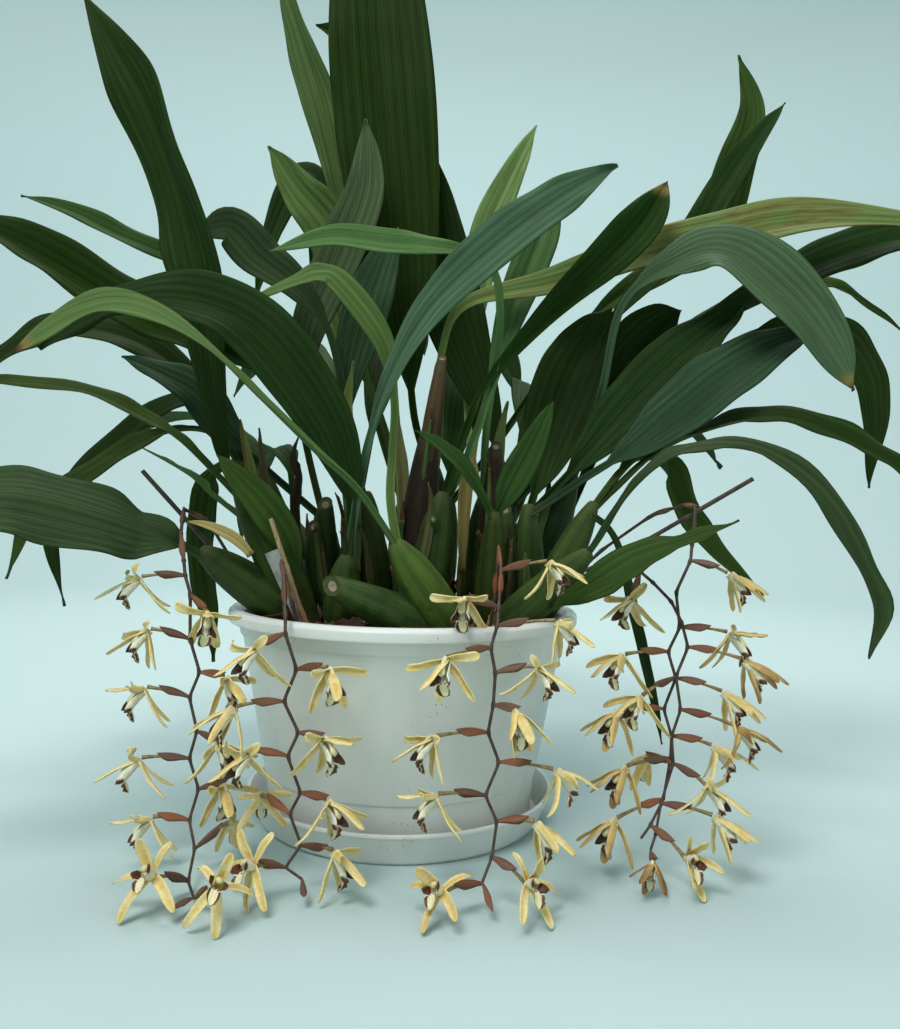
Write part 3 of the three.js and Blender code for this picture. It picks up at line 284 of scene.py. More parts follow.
white_plastic, place = start_material("white moulded plastic")
smudge = place.stretched((1, 1, 0.35)).clouds(16, detail=5, roughness=0.6).over(0.52, 0.78)
# patchy darkening low on the wall, below its reach
darker_low = place.height().over(LOW_DARKENING_REACH * MM, 0.0) * smudge
speck = place.node("TexVoronoi", {}, {"Vector": place, "Scale": 260}).over(0.16, 0.1)
speck = speck * place.clouds(31).over(0.55, 0.72)
white = smudge.blend(PLASTIC_WHITE, PLASTIC_SMUDGED).painted(
    # patchily darker towards the bottom of the wall
    (darker_low, 0.35, (0.50, 0.50, 0.44)),
    (speck, 0.8, (0.12, 0.10, 0.07)),
)
ripple = place.clouds(420, detail=2) * 0.02 + place.clouds(22, detail=1) * 0.5
finish_material(
    place, Base_Color=white, Roughness=0.34 + smudge * 0.2, Specular_IOR_Level=0.45,
    Subsurface_Weight=0.12, Subsurface_Radius=(1, 1, 1), Subsurface_Scale=3 * MM,
    Normal=ripple.bump(0.5),
)

saucer = turn_piece(
    "saucer_moulded",
    [
        (SAUCER_BASE - 6, 1.2), (SAUCER_BASE - 5, 0), (SAUCER_BASE, 0), (SAUCER_BASE + 2.5, 2.5),
        (SAUCER_RIM - 1, SAUCER_HEIGHT - 3), (SAUCER_RIM, SAUCER_HEIGHT - 2.4),
        (SAUCER_RIM, SAUCER_HEIGHT), (SAUCER_RIM - 2.6, SAUCER_HEIGHT),
        (SAUCER_BASE + 0.4, SAUCER_FLOOR),
    ],
    rounding=0.7,
)
saucer.data.materials.append(white_plastic)
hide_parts("saucer")
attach(saucer, "root")


# ---- Pot ----
# Moulded in the same white plastic: a low step where the wall starts, a collar under the rim, and
# a broad rolled rim. Water drains through five holes in its floor.
POT_BOTTOM = 3.6
POT_BASE = 98
POT_STEP = 102
POT_STEP_HEIGHT = 36
POT_WALL_TOP = 119.5
POT_COLLAR = 121.5
POT_COLLAR_HEIGHT = 137
POT_RIM = 130
POT_RIM_BOTTOM = 145.5
POT_HEIGHT = 155
POT_WALL = 3
POT_FLOOR = 3.4
DRAIN_HOLES = 5
DRAIN_CIRCLE = 60
DRAIN_RADIUS = 6

pot = turn_piece(
    "pot_moulded",
    [
        (POT_BASE - 2, POT_BOTTOM), (POT_BASE, POT_BOTTOM + 2),
        (POT_STEP - 1.2, POT_STEP_HEIGHT), (POT_STEP, POT_STEP_HEIGHT + 1),
        (POT_WALL_TOP, POT_COLLAR_HEIGHT - 1), (POT_COLLAR, POT_COLLAR_HEIGHT),
        (POT_COLLAR, POT_RIM_BOTTOM), (POT_RIM - 1, POT_RIM_BOTTOM),
        (POT_RIM, POT_RIM_BOTTOM + 1), (POT_RIM, POT_HEIGHT - 2.5),
        (POT_RIM - 2.5, POT_HEIGHT), (POT_COLLAR + 1, POT_HEIGHT),
        (POT_COLLAR - POT_WALL, POT_HEIGHT - 4),
        (POT_WALL_TOP - POT_WALL, POT_COLLAR_HEIGHT),
        (POT_STEP - POT_WALL, POT_STEP_HEIGHT),
        (POT_BASE - POT_WALL, POT_BOTTOM + POT_FLOOR),
    ],
    rounding=0.8,
)
pot.data.materials.append(white_plastic)
bpy.ops.object.select_all(action="DESELECT")
for hole in range(DRAIN_HOLES):
    angle = 2 * math.pi * hole / DRAIN_HOLES
    x, y = DRAIN_CIRCLE * math.cos(angle), DRAIN_CIRCLE * math.sin(angle)
    bpy.ops.mesh.primitive_cylinder_add(
        vertices=32, radius=DRAIN_RADIUS * MM, depth=3 * POT_FLOOR * MM,
        location=Vector((x, y, POT_BOTTOM + 1)) * MM,
    )
    drill = bpy.context.object
    apply_modifier(pot, "BOOLEAN", object=drill, operation="DIFFERENCE", solver="EXACT")
    bpy.data.objects.remove(drill)
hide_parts("pot")
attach(pot, "root")


# ---- Leafy shoots ----
# Each is a fleshy green pseudobulb, ribbed as it ages, with papery brown husks round its foot.
# One to three pleated leaves grow from its top, on a folded stalk that widens into the blade.
# Some stand beside an older bulb whose leaves were cut away, which leaves a pale scar.
Bulb = namedtuple("Bulb", "foot top radius cut colour", defaults=(False, None))
# A leaf's stalk, widest and dry are shares of its length: where its stalk ends, where its blade is
# widest and where it is dry from. Its face says where the upper side looks, from foot to tip.
Leaf = namedtuple(
    "Leaf", "points width colour face stalk widest fold dry wave pleats aged",
    defaults=(0.15, 0.42, 0.3, 1.1, 1.0, None, 0.0),
)
FRONT = (0, -1, 0.25)
FRONT_UP = (0, -0.8, 0.7)
UP = (0, -0.15, 1)
LEFT_FRONT = (-0.35, -1, 0.1)
RIGHT_FRONT = (0.35, -1, 0.1)
TURNED = (-0.8, -0.7, 0.1)

INKY = (0.012, 0.031, 0.004)
DARK = (0.016, 0.036, 0.008)
FOREST = (0.031, 0.063, 0.015)
FRESH = (0.072, 0.138, 0.045)
PALE = (0.165, 0.270, 0.105)
# blue-green, partly the leaf's own tone and partly a painted sheen of reflected light
BLUISH_WITH_SHEEN = (0.056, 0.096, 0.049)
SLATE = (0.031, 0.060, 0.027)
OLIVE = (0.080, 0.128, 0.040)
TAN = (0.115, 0.165, 0.048)
BUFF = (0.360, 0.310, 0.140)
STRAW = (0.200, 0.185, 0.070)
DRIED = (0.085, 0.060, 0.028)

GREEN_BULB = (0.026, 0.047, 0.010)
LIME_BULB = (0.042, 0.074, 0.016)
DARK_BULB = (0.017, 0.036, 0.010)
BRIGHT_BULB = (0.058, 0.112, 0.022)
OLD_BULB = (0.036, 0.023, 0.016)

SHOOTS = {
    "leafy_shoot_01": [
        Bulb((42, -64, 134), (-2, -87, 205), 15.5, colour=BRIGHT_BULB),
        Bulb((24, -72, 146), (-43, -92, 177), 14, cut=True),
        Leaf(
            [(2, -85, 198), (-26, -98, 239), (-52, -106, 263), (-87, -113, 296), (-122, -117, 328),
             (-163, -119, 349), (-198, -123, 343), (-234, -129, 318)],
            30, FRESH, (UP, FRONT_UP), stalk=0.4, widest=0.7, dry=0.97, wave=1.2, aged=0.2,
        ),
        Leaf(
            [(0, -84, 198), (-8, -62, 234), (-10, -25, 271), (-10, -18, 309), (-20, -20, 352),
             (-52, -26, 392), (-66, -29, 397), (-84, -32, 390), (-121, -40, 373)],
            22, FRESH, (FRONT, FRONT_UP), stalk=0.4,
        ),
    ],
    "leafy_shoot_02": [
        Bulb((-46, -34, 134), (-39, -48, 194), 13.5),
        Leaf(
            [(-39, -47, 188), (-37, -52, 234), (-48, -58, 275), (-72, -66, 315), (-105, -74, 350),
             (-142, -84, 362), (-178, -94, 358), (-204, -102, 343), (-229, -108, 324)],
            47, DARK, (FRONT, FRONT_UP), stalk=0.12, wave=1.5,
        ),
        Leaf(
            [(-38, -48, 188), (-34, -51, 222), (-24, -54, 276), (-8, -52, 326), (16, -48, 370),
             (50, -46, 406), (85, -45, 436), (116, -47, 457), (145, -51, 472)],
            35, BLUISH_WITH_SHEEN, (FRONT, FRONT), widest=0.66, wave=1.5,
        ),
    ],
    "leafy_shoot_03": [
        Bulb((-66, -46, 146), (-137, -62, 196), 15),
        Bulb((-62, -44, 135), (-113, -62, 244), 14.5),
        Leaf(
            [(-130, -61, 188), (-145, -75, 199), (-163, -92, 211), (-182, -108, 221), (-211, -128, 231),
             (-234, -142, 234), (-262, -155, 228), (-295, -165, 215), (-345, -172, 175)],
            60, SLATE, (FRONT_UP, FRONT_UP), stalk=0.14, fold=-0.25, wave=1.5,
        ),
        Leaf(
            [(-74, -58, 180), (-78, -66, 206), (-92, -75, 228), (-108, -80, 246), (-122, -83, 262)],
            24, FOREST, (FRONT, FRONT), stalk=0.02, wave=0.5,
        ),
        Leaf(
            [(-100, -72, 195), (-110, -76, 205), (-125, -81, 213), (-140, -86, 217)],
            8, BUFF, (FRONT, FRONT_UP), stalk=0, fold=0.6, wave=0.3, pleats=2,
        ),
    ],
    "leafy_shoot_04": [
        Bulb((-72, -10, 134), (-97, -20, 208), 14),
        Leaf(
            [(-95, -19, 202), (-124, -28, 247), (-132, -33, 268), (-141, -40, 332), (-146, -45, 380),
             (-155, -48, 422), (-168, -50, 463), (-188, -52, 511), (-207, -54, 544), (-230, -56, 583)],
            49, DARK, (FRONT, FRONT, FRONT, LEFT_FRONT, TURNED, LEFT_FRONT, FRONT), stalk=0.12,
            widest=0.6, wave=1.2,
        ),
        Leaf(
            [(-96, -20, 203), (-137, -35, 235), (-150, -50, 249), (-178, -70, 267)],
            14, FRESH, (UP, UP), stalk=0.2, wave=0.5,
        ),
        Leaf(
            [(-94, -30, 160), (-101, -35, 200), (-108, -37, 244), (-119, -39, 290)],
            11, OLIVE, (FRONT, FRONT), stalk=0, fold=0.6, wave=0.5, pleats=2, aged=1,
        ),
        Leaf(
            [(-92, -30, 160), (-96, -35, 200), (-99, -38, 240), (-105, -40, 284)],
            9, DRIED, (FRONT, FRONT), stalk=0, fold=0.6, wave=0.5, pleats=2,
        ),
        Leaf(
            [(-80, -4, 190), (-84, -1, 226), (-82, 2, 250), (-87, 4, 268), (-84, 4, 286)],
            8, OLD_BULB, (FRONT, TURNED), stalk=0, fold=0.8, pleats=3,
        ),
    ],
    "leafy_shoot_05": [
        Bulb((-20, 18, 134), (-35, 12, 236), 15),
        Leaf(
            [(-35, 12, 230), (-53, 5, 280), (-90, -8, 322), (-156, -18, 350), (-201, -26, 368),
             (-252, -36, 397), (-291, -45, 417), (-330, -52, 434)],
            40, INKY, (FRONT, FRONT_UP), stalk=0.2, widest=0.55, fold=0.55, dry=0.94, wave=2.0,
        ),
        Leaf(
            [(-34, 13, 230), (-47, 22, 290), (-65, 25, 365), (-89, 22, 399), (-121, 18, 423),
             (-144, 14, 444), (-167, 8, 436)],
            36, SLATE, (FRONT, FRONT), stalk=0.3, widest=0.6, dry=0.97,
        ),
        Leaf(
            [(-36, -4, 180), (-40, -4, 222), (-44, -4, 262), (-47, -4, 300), (-43, -4, 340)],
            14, OLIVE, (FRONT, FRONT), stalk=0, fold=0.5, wave=0.5, pleats=2, aged=0.4,
        ),
    ],
    "leafy_shoot_06": [
        Bulb((-92, 14, 134), (-112, 8, 222), 13.5),
        Leaf(
            [(-112, 8, 216), (-143, 0, 249), (-170, -12, 277), (-195, -20, 292), (-233, -32, 309),
             (-288, -46, 312), (-319, -52, 303)],
            18, FOREST, (UP, FRONT_UP), wave=0.8,
        ),
        Leaf(
            [(-112, 9, 216), (-133, 20, 256), (-154, 24, 250), (-163, 26, 200), (-156, 24, 145),
             (-150, 20, 105)],
            27, DARK, (UP, LEFT_FRONT),
        ),
        Leaf(
            [(-112, 10, 216), (-156, 48, 282), (-200, 40, 286), (-246, 16, 252), (-284, 0, 218),
             (-301, -6, 169)],
            24, FOREST, (UP, LEFT_FRONT), stalk=0.3,
        ),
    ],
    "leafy_shoot_07": [
        Bulb((-28, 56, 134), (-37, 55, 240), 15),
        Leaf(
            [(-37, 54, 234), (-63, 50, 301), (-100, 40, 359), (-131, 30, 393), (-157, 22, 409),
             (-188, 14, 421), (-225, 4, 434), (-256, -6, 447), (-290, -18, 455)],
            20, FOREST, (FRONT, FRONT_UP), stalk=0.4, widest=0.6, wave=0.8,
        ),
        Leaf(
            [(-38, 56, 234), (-76, 62, 285), (-93, 60, 322), (-86, 52, 375), (-62, 46, 431),
             (-41, 42, 487), (-42, 40, 543)],
            40, BLUISH_WITH_SHEEN, (FRONT, FRONT), stalk=0.3, widest=0.55,
        ),
        Leaf(
            [(-37, 53, 234), (-51, 42, 290), (-50, 36, 330), (-42, 34, 370), (-30, 35, 412),
             (-14, 36, 455)],
            38, SLATE, (FRONT, FRONT), stalk=0.2, widest=0.6,
        ),
    ],
    "leafy_shoot_08": [
        Bulb((26, 50, 134), (19, 50, 262), 15),
        Leaf(
            [(18, 51, 256), (2, 56, 303), (-6, 62, 374), (-16, 66, 447), (-27, 70, 532), (-35, 74, 611),
             (-42, 80, 690), (-52, 92, 770), (-64, 110, 835)],
            88, INKY, (FRONT, FRONT), stalk=0.16, widest=0.5, fold=0.12, wave=1.2, pleats=5,
        ),
        Leaf(
            [(-2, 30, 180), (-4, 32, 226), (-6, 34, 258), (-9, 36, 282), (-12, 35, 308)],
            11, STRAW, (FRONT, FRONT), stalk=0, fold=0.5, wave=0.5, pleats=2, aged=0.5,
        ),
        Leaf(
            [(20, 49, 256), (23, 44, 294), (24, 34, 357), (45, 26, 394), (115, 20, 410), (184, 14, 431),
             (237, 8, 442), (295, 2, 453), (367, -8, 451), (395, -12, 445)],
            44, TAN, (FRONT, FRONT_UP), stalk=0.2, widest=0.62, fold=0.42, dry=0.97, wave=1.5, aged=1.0,
        ),
    ],
    "leafy_shoot_09": [
        Bulb((12, -28, 134), (28, -32, 239), 15),
        Bulb((25, -29, 208), (21, -49, 222), 5, cut=True),
        Leaf(
            [(28, -32, 233), (34, -30, 258), (46, -26, 295), (55, -20, 319), (97, -10, 371),
             (142, -6, 414), (172, -4, 446), (193, -2, 482)],
            34, INKY, (FRONT, FRONT), widest=0.78, fold=0.55, dry=0.965, wave=1.2,
        ),
        Leaf(
            [(29, -31, 233), (47, -22, 273), (62, -16, 326), (67, -14, 371), (62, -14, 405),
             (43, -14, 420), (10, -12, 426), (-17, -10, 428), (-62, -10, 431), (-107, -14, 418)],
            21, FRESH, (FRONT, FRONT), stalk=0.45, widest=0.62, wave=0.8,
        ),
    ],
    "leafy_shoot_10": [
        Bulb((54, 28, 134), (60, 31, 240), 13.5),
        Leaf(
            [(59, 31, 234), (49, 80, 284), (45, 112, 345), (48, 117, 410), (60, 118, 480),
             (80, 118, 530), (103, 118, 578)],
            31, PALE, (FRONT, RIGHT_FRONT), stalk=0.3, widest=0.5,
        ),
        Leaf(
            [(60, 14, 190), (63, 14, 226), (68, 12, 262), (71, 12, 290), (76, 10, 314)],
            11, OLIVE, (FRONT, FRONT), stalk=0, fold=0.5, wave=0.5, pleats=2, aged=0.3,
        ),
        Leaf(
            [(43, 10, 180), (44, 10, 226), (46, 10, 258), (50, 10, 282), (57, 10, 302)],
            11, STRAW, (FRONT, FRONT), stalk=0, fold=0.5, wave=0.5, pleats=2, aged=0.6,
        ),
        Leaf(
            [(60, 30, 234), (60, 33, 285), (67, 36, 342), (82, 40, 400), (103, 44, 459), (110, 46, 499)],
            31, FRESH, (FRONT, RIGHT_FRONT), stalk=0.25, widest=0.62,
        ),
    ],
    "leafy_shoot_11": [
        Bulb((62, -30, 134), (65, -44, 226), 11.5),
        Leaf(
            [(64, -43, 222), (46, -52, 253), (29, -58, 270), (8, -64, 283)],
            14, FOREST, (FRONT_UP, FRONT_UP), wave=0.4,
        ),
        Leaf(
            [(65, -43, 222), (74, -50, 243), (88, -56, 272), (102, -62, 305)],
            22, FOREST, (FRONT, FRONT), wave=0.4,
        ),
    ],
    "leafy_shoot_12": [
        Bulb((94, -6, 134), (92, -9, 232), 13),
        Bulb((82, -2, 134), (74, -14, 230), 10.5, cut=True),
        Bulb((64, 8, 190), (67, 2, 278), 9, cut=True, colour=OLD_BULB),
        Leaf(
            [(92, -9, 226), (100, 2, 253), (112, 24, 291), (129, 36, 338), (144, 41, 370),
             (160, 43, 396)],
            56, DARK, (FRONT, FRONT), stalk=0.12, widest=0.5, wave=1.2,
        ),
        Leaf(
            [(93, -9, 226), (120, -6, 255), (150, -6, 290), (187, -4, 330), (224, -4, 366),
             (254, -4, 390)],
            45, DARK, (FRONT, FRONT_UP), stalk=0.2, widest=0.5, wave=1.2,
        ),
        Leaf(
            [(93, -10, 226), (130, -18, 252), (163, -22, 274), (197, -25, 301), (232, -27, 330),
             (266, -28, 352), (296, -26, 364)],
            49, SLATE, (FRONT_UP, FRONT_UP), stalk=0.25, widest=0.5, wave=1.2,
        ),
    ],
    "leafy_shoot_13": [
        Bulb((92, 28, 134), (129, 24, 258), 14),
        Leaf(
            [(128, 24, 252), (138, 12, 286), (148, 8, 323), (160, -8, 387), (198, -20, 416),
             (230, -30, 419), (266, -40, 387), (294, -46, 353), (315, -52, 319)],
            60, BLUISH_WITH_SHEEN, (FRONT, FRONT_UP), stalk=0.38, widest=0.56, dry=0.97, wave=1.5,
        ),
        Leaf(
            [(129, 27, 252), (143, 39, 295), (166, 44, 343), (193, 44, 378), (216, 38, 394)],
            49, DARK, (FRONT, FRONT), widest=0.5, wave=1.2,
        ),
    ],
    "leafy_shoot_14": [
        Bulb((62, -52, 137), (126, -75, 201), 13.5),
        Leaf(
            [(123, -74, 196), (134, -79, 214), (149, -84, 241), (171, -88, 263), (196, -92, 273),
             (232, -100, 270), (268, -108, 243), (291, -114, 203), (303, -118, 172), (294, -120, 142)],
            22, SLATE, (UP, FRONT_UP), widest=0.55, wave=1.2,
        ),
        Leaf(
            [(103, -72, 164), (132, -92, 182), (156, -100, 198), (185, -108, 211), (214, -114, 226)],
            34, FOREST, (FRONT_UP, UP), stalk=0.05, wave=0.8,
        ),
    ],
    "leafy_shoot_15": [
        Bulb((88, -34, 134), (136, -34, 234), 12.5),
        Leaf(
            [(134, -34, 228), (153, -26, 246), (185, -30, 276), (230, -34, 295), (271, -40, 300),
             (315, -46, 284), (349, -50, 264), (382, -54, 236)],
            29, DARK, (UP, FRONT_UP), widest=0.6, wave=1.2,
        ),
        Leaf(
            [(135, -33, 228), (161, -16, 261), (180, -2, 272), (199, 6, 262), (218, 8, 225),
             (244, 6, 196), (274, 2, 168)],
            24, FOREST, (UP, FRONT), fold=0.6, wave=1.2,
        ),
        Leaf(
            [(134, -35, 228), (152, -42, 208), (165, -54, 150), (176, -58, 104), (184, -58, 69)],
            9, DARK, (UP, RIGHT_FRONT), wave=0.3,
        ),
    ],
    "leafy_shoot_16": [
        Bulb((22, 92, 134), (32, 94, 238), 13.5),
        Leaf(
            [(32, 93, 232), (75, 96, 291), (144, 98, 390), (211, 90, 442), (251, 80, 470),
             (268, 72, 523), (280, 68, 572), (267, 66, 616)],
            36, FOREST, (FRONT, LEFT_FRONT), stalk=0.3, wave=1.5,
        ),
        Leaf(
            [(32, 97, 232), (34, 118, 296), (42, 142, 346), (58, 190, 382), (84, 260, 395),
             (112, 330, 360)],
            58, FOREST, (UP, UP), stalk=0.1, wave=1.5,
        ),
    ],
    "leafy_shoot_17": [
        Bulb((56, 60, 134), (84, 66, 240), 13.5),
        Leaf(
            [(85, 66, 234), (125, 78, 325), (173, 70, 401), (228, 60, 459), (252, 54, 499),
             (277, 50, 539), (299, 46, 568)],
            27, DARK, (FRONT, LEFT_FRONT), stalk=0.3, wave=1.2,
        ),
        Leaf(
            [(84, 67, 234), (76, 80, 270), (63, 90, 315), (42, 95, 369), (26, 97, 422), (17, 98, 474),
             (12, 96, 540)],
            56, DARK, (FRONT, FRONT), widest=0.6, wave=1.2,
        ),
        Leaf(
            [(86, 66, 234), (148, 60, 300), (218, 48, 371), (294, 36, 418), (345, 28, 440),
             (390, 22, 452), (426, 16, 457)],
            40, DARK, (FRONT, FRONT_UP), stalk=0.3, widest=0.55, wave=1.2,
        ),
    ],
    "leafy_shoot_18": [
        Bulb((76, 50, 134), (132, 70, 228), 13),
        Leaf(
            [(131, 70, 222), (175, 70, 308), (252, 50, 365), (304, 36, 384), (335, 26, 375),
             (356, 20, 345), (362, 16, 306), (358, 12, 253)],
            33, DARK, (FRONT_UP, FRONT), stalk=0.35, wave=1.2,
        ),
        Leaf(
            [(132, 71, 222), (179, 94, 328), (244, 84, 397), (322, 66, 425), (360, 58, 417),
             (402, 50, 384)],
            20, FOREST, (UP, FRONT_UP), stalk=0.3,
        ),
    ],
    "leafy_shoot_19": [
        Bulb((-8, 92, 134), (-8, 98, 236), 13.5),
        Leaf(
            [(-8, 97, 230), (-26, 102, 298), (-59, 98, 385), (-73, 92, 462), (-104, 88, 504),
             (-130, 84, 539)],
            44, FRESH, (FRONT, LEFT_FRONT), stalk=0.3, wave=1.5, aged=0.1,
        ),
        Leaf(
            [(-8, 99, 230), (-39, 112, 325), (-62, 118, 450), (-76, 116, 529), (-90, 112, 590),
             (-108, 108, 642), (-130, 104, 700)],
            35, OLIVE, (FRONT, FRONT, FRONT, FRONT, LEFT_FRONT, TURNED, FRONT), stalk=0.2, widest=0.66,
            dry=0.985, wave=1.5, aged=0.1,
        ),
        Leaf(
            [(-8, 101, 230), (-22, 130, 360), (-26, 136, 500), (-34, 130, 604), (-60, 124, 648),
             (-98, 118, 664)],
            36, DARK, (FRONT, FRONT), stalk=0.2, widest=0.6, wave=1.2,
        ),
    ],
    "leafy_shoot_20": [
        Bulb((-62, 52, 134), (-74, 60, 227), 13.5),
        Leaf(
            [(-74, 60, 221), (-99, 86, 321), (-90, 116, 422), (-94, 134, 508), (-111, 138, 534),
             (-136, 134, 483), (-149, 124, 415)],
            31, DARK, (UP, FRONT), stalk=0.3, wave=1.2,
        ),
        Leaf(
            [(-75, 59, 221), (-127, 44, 266), (-149, 34, 289), (-170, 28, 316), (-198, 22, 332),
             (-226, 16, 343)],
            33, SLATE, (FRONT, FRONT_UP), stalk=0.25,
        ),
    ],
    "leafy_shoot_21": [
        Bulb((-82, 44, 134), (-124, 56, 210), 12.5),
        Leaf(
            [(-122, 56, 204), (-140, 66, 254), (-173, 62, 312), (-214, 54, 302), (-256, 42, 260),
             (-284, 32, 206), (-272, 26, 145)],
            28, DARK, (UP, LEFT_FRONT), wave=1.2,
        ),
        Leaf(
            [(-123, 57, 204), (-149, 82, 285), (-200, 78, 343), (-247, 68, 369), (-295, 56, 370),
             (-336, 46, 346), (-371, 38, 308)],
            38, DARK, (FRONT_UP, FRONT_UP), stalk=0.25, wave=1.2,
        ),
    ],
    "leafy_shoot_22": [
        Bulb((-40, 90, 134), (-50, 102, 230), 13.5),
        Leaf(
            [(-52, 102, 224), (-74, 134, 320), (-112, 184, 380), (-160, 240, 390), (-210, 290, 350)],
            42, FOREST, (UP, UP), stalk=0.2, wave=1.5,
        ),
        Leaf(
            [(-49, 103, 224), (-38, 146, 320), (-28, 206, 400), (-14, 270, 430), (0, 340, 410)],
            46, DARK, (UP, UP), stalk=0.2, wave=1.5,
        ),
    ],
    "leafy_shoot_23": [
        Bulb((48, 76, 134), (88, 116, 222), 13),
        Leaf(
            [(89, 117, 216), (130, 150, 300), (190, 190, 340), (260, 225, 330), (320, 250, 280)],
            44, DARK, (UP, UP), stalk=0.2, wave=1.5,
        ),
        Leaf(
            [(88, 118, 216), (102, 162, 320), (113, 224, 360), (120, 290, 350), (124, 350, 290)],
            40, FOREST, (UP, UP), stalk=0.2, wave=1.5,
        ),
    ],
    "leafy_shoot_24": [
        Bulb((-58, 70, 134), (-104, 100, 214), 12),
        Leaf(
            [(-105, 100, 208), (-150, 125, 280), (-210, 150, 310), (-280, 170, 290), (-330, 185, 240)],
            42, FOREST, (UP, UP), stalk=0.2, wave=1.5,
        ),
        Leaf(
            [(-104, 101, 208), (-120, 150, 268), (-150, 205, 285), (-182, 262, 250), (-200, 300, 190)],
            36, DARK, (UP, UP), stalk=0.2, wave=1.5,
        ),
    ],
    "old_bulb_middle": [
        Bulb((2, 14, 134), (15, 8, 284), 15.5, cut=True, colour=OLD_BULB),
        Bulb((12, 6, 240), (24, 12, 346), 8, cut=True, colour=DRIED),
    ],
    "old_bulbs_left": [
        Bulb((-66, 24, 134), (-64, 12, 231), 12, cut=True),
        Bulb((-60, 14, 134), (-70, -4, 214), 9, cut=True),
    ],
}

STALK_WIDTH = 6
STALK_FOLD = 0.7
BASE_SPACING = 3.6
MOST_RINGS = 70
RING_SPACING = 5
POINTS_PER_PLEAT = 4
PLEAT_SPACING = 13
PLEAT_HEIGHT = 0.16
TIP_POWER = 0.95
TIP_TAPER = 0.07
BLADE_OPENING = 0.12
EDGE_WAVE = 1.3
LONG_WAVES = (2.2, 4.5)
SHORT_WAVES = (5, 8)
DRIFT_WAVES = (0.8, 1.6)
EDGE_POWER = 2.5
FOLD_POWER = 1.6
TIP_FADE = 0.15
SIDEWAYS_DRIFT = 0.012
LOOK_AHEAD = 0.02
RIB_WIDTH = 1.3
BLADE_THICKNESS = 0.55
RIB_THICKNESS = 2.6
BULB_PROFILE = [(0, 0), (0, 0.5), (0.33, 1), (0.74, 0.84), (1, 0.36), (1.02, 0)]
CUT_PROFILE = [(0, 0), (0, 0.5), (0.33, 1), (0.74, 0.8), (0.985, 0.48), (1, 0.4), (0.985, 0)]
CUT_SLOPE = 0.8
CUT_FACE = 0.89
UPRIGHT = 0.93
HUSK_THICKNESS = 0.35
HUSK_HEIGHTS = (0.12, 0.34)  # from lowest to highest, as shares of the bulb's height
HUSK_REACHES = (1.3, 2.7)  # how far round it goes to each side, in radians
HUSK_GAP = 0.7
HUSK_FLARE = 2.6
HUSK_FOLDS = 17
HUSK_COLOURS = ((0.16, 0.085, 0.04), (0.26, 0.17, 0.09), (0.10, 0.05, 0.026))
BULB_RIBS = (5, 6, 7)
BULB_COLOURS = (GREEN_BULB, GREEN_BULB, LIME_BULB, DARK_BULB)
SHEATH_COLOURS = (FOREST, OLIVE, DRIED, DRIED, DRIED)
FIRST_SHOOT_SEED = 500


def follow(points, share):
    """Where a smooth path through the points is, at each share from 0 to 1 of its way."""
    points = np.asarray(points, float)
    place = np.clip(share, 0, 1) * (len(points) - 1)
    knot = np.minimum(place.astype(int), len(points) - 2)
    past = (place - knot)[:, None]
    before, start, end, after = (
        points[np.clip(knot + step, 0, len(points) - 1)] for step in (-1, 0, 1, 2)
    )
    bend = 2 * before - 5 * start + 4 * end - after
    swing = 3 * start - before - 3 * end + after
    return 0.5 * (2 * start + (end - before) * past + bend * past**2 + swing * past**3)


def ramp(values, start, end):
    """0 up to the start, 1 from the end on, and even between them."""
    return np.clip((values - start) / (end - start), 0, 1)


def wavy(along, crests, chance):
    """A wave along a piece, from -1 to 1, with its number of crests by chance between two."""
    return np.sin(2 * math.pi * (along * chance.uniform(*crests) + chance.random()))


def unit(vectors):
    """The same directions at length one."""
    return vectors / np.maximum(np.linalg.norm(vectors, axis=1, keepdims=True), 1e-9)


def corners(piece):
    """The piece's vertices as an array."""
    flat = np.empty(len(piece.data.vertices) * 3)
    piece.data.vertices.foreach_get("co", flat)
    return flat.reshape(-1, 3)


def reshape(piece, places):
    """Moves the piece's vertices to the places, which are in millimetres."""
    piece.data.vertices.foreach_set("co", (np.asarray(places) * MM).ravel())
    piece.data.update()


def mark(piece, name, values, kind="FLOAT"):
    """Keeps a value for each vertex, which the piece's material reads."""
    layer = piece.data.attributes.new(name, kind, "POINT")
    field = {"FLOAT": "value", "FLOAT_VECTOR": "vector", "FLOAT_COLOR": "color"}[kind]
    layer.data.foreach_set(field, np.ascontiguousarray(values, float).ravel())


def tint(piece, colour, spread, chance):
    """Gives the whole piece one colour, a little off the stated one."""
    shift = 1 + spread * chance.uniform(-1, 1)
    warm = 1 + spread * chance.uniform(-1, 1)
    shade = (colour[0] * shift * warm, colour[1] * shift, colour[2] * shift / warm, 1)
    mark(piece, "tint", np.tile(shade, (len(piece.data.vertices), 1)), "FLOAT_COLOR")


def blade_width(share, width, stalk, widest):
    """How wide a leaf is: a narrow stalk, and a blade that is widest where the leaf says."""
    beyond = ramp(share, stalk, 1)
    base_power = TIP_POWER * widest / (1 - widest)
    shape = (beyond / widest) ** base_power * ((1 - beyond) / (1 - widest)) ** TIP_POWER
    shape *= 1 - 0.45 * np.exp(-(((1 - beyond) / TIP_TAPER) ** 2))
    blade = np.maximum(width * shape, STALK_WIDTH * (1 - beyond))
    return np.where(share <= stalk, STALK_WIDTH, blade)


def start_sheet(columns, rows):
    """A flat sheet, and its vertices' places across it from -1 to 1 and along it from 0 to 1."""
    bpy.ops.object.select_all(action="DESELECT")
    bpy.ops.mesh.primitive_grid_add(x_subdivisions=columns, y_subdivisions=rows, size=2)
    sheet = bpy.context.object
    flat = corners(sheet)
    return sheet, flat[:, 0], (flat[:, 1] + 1) / 2


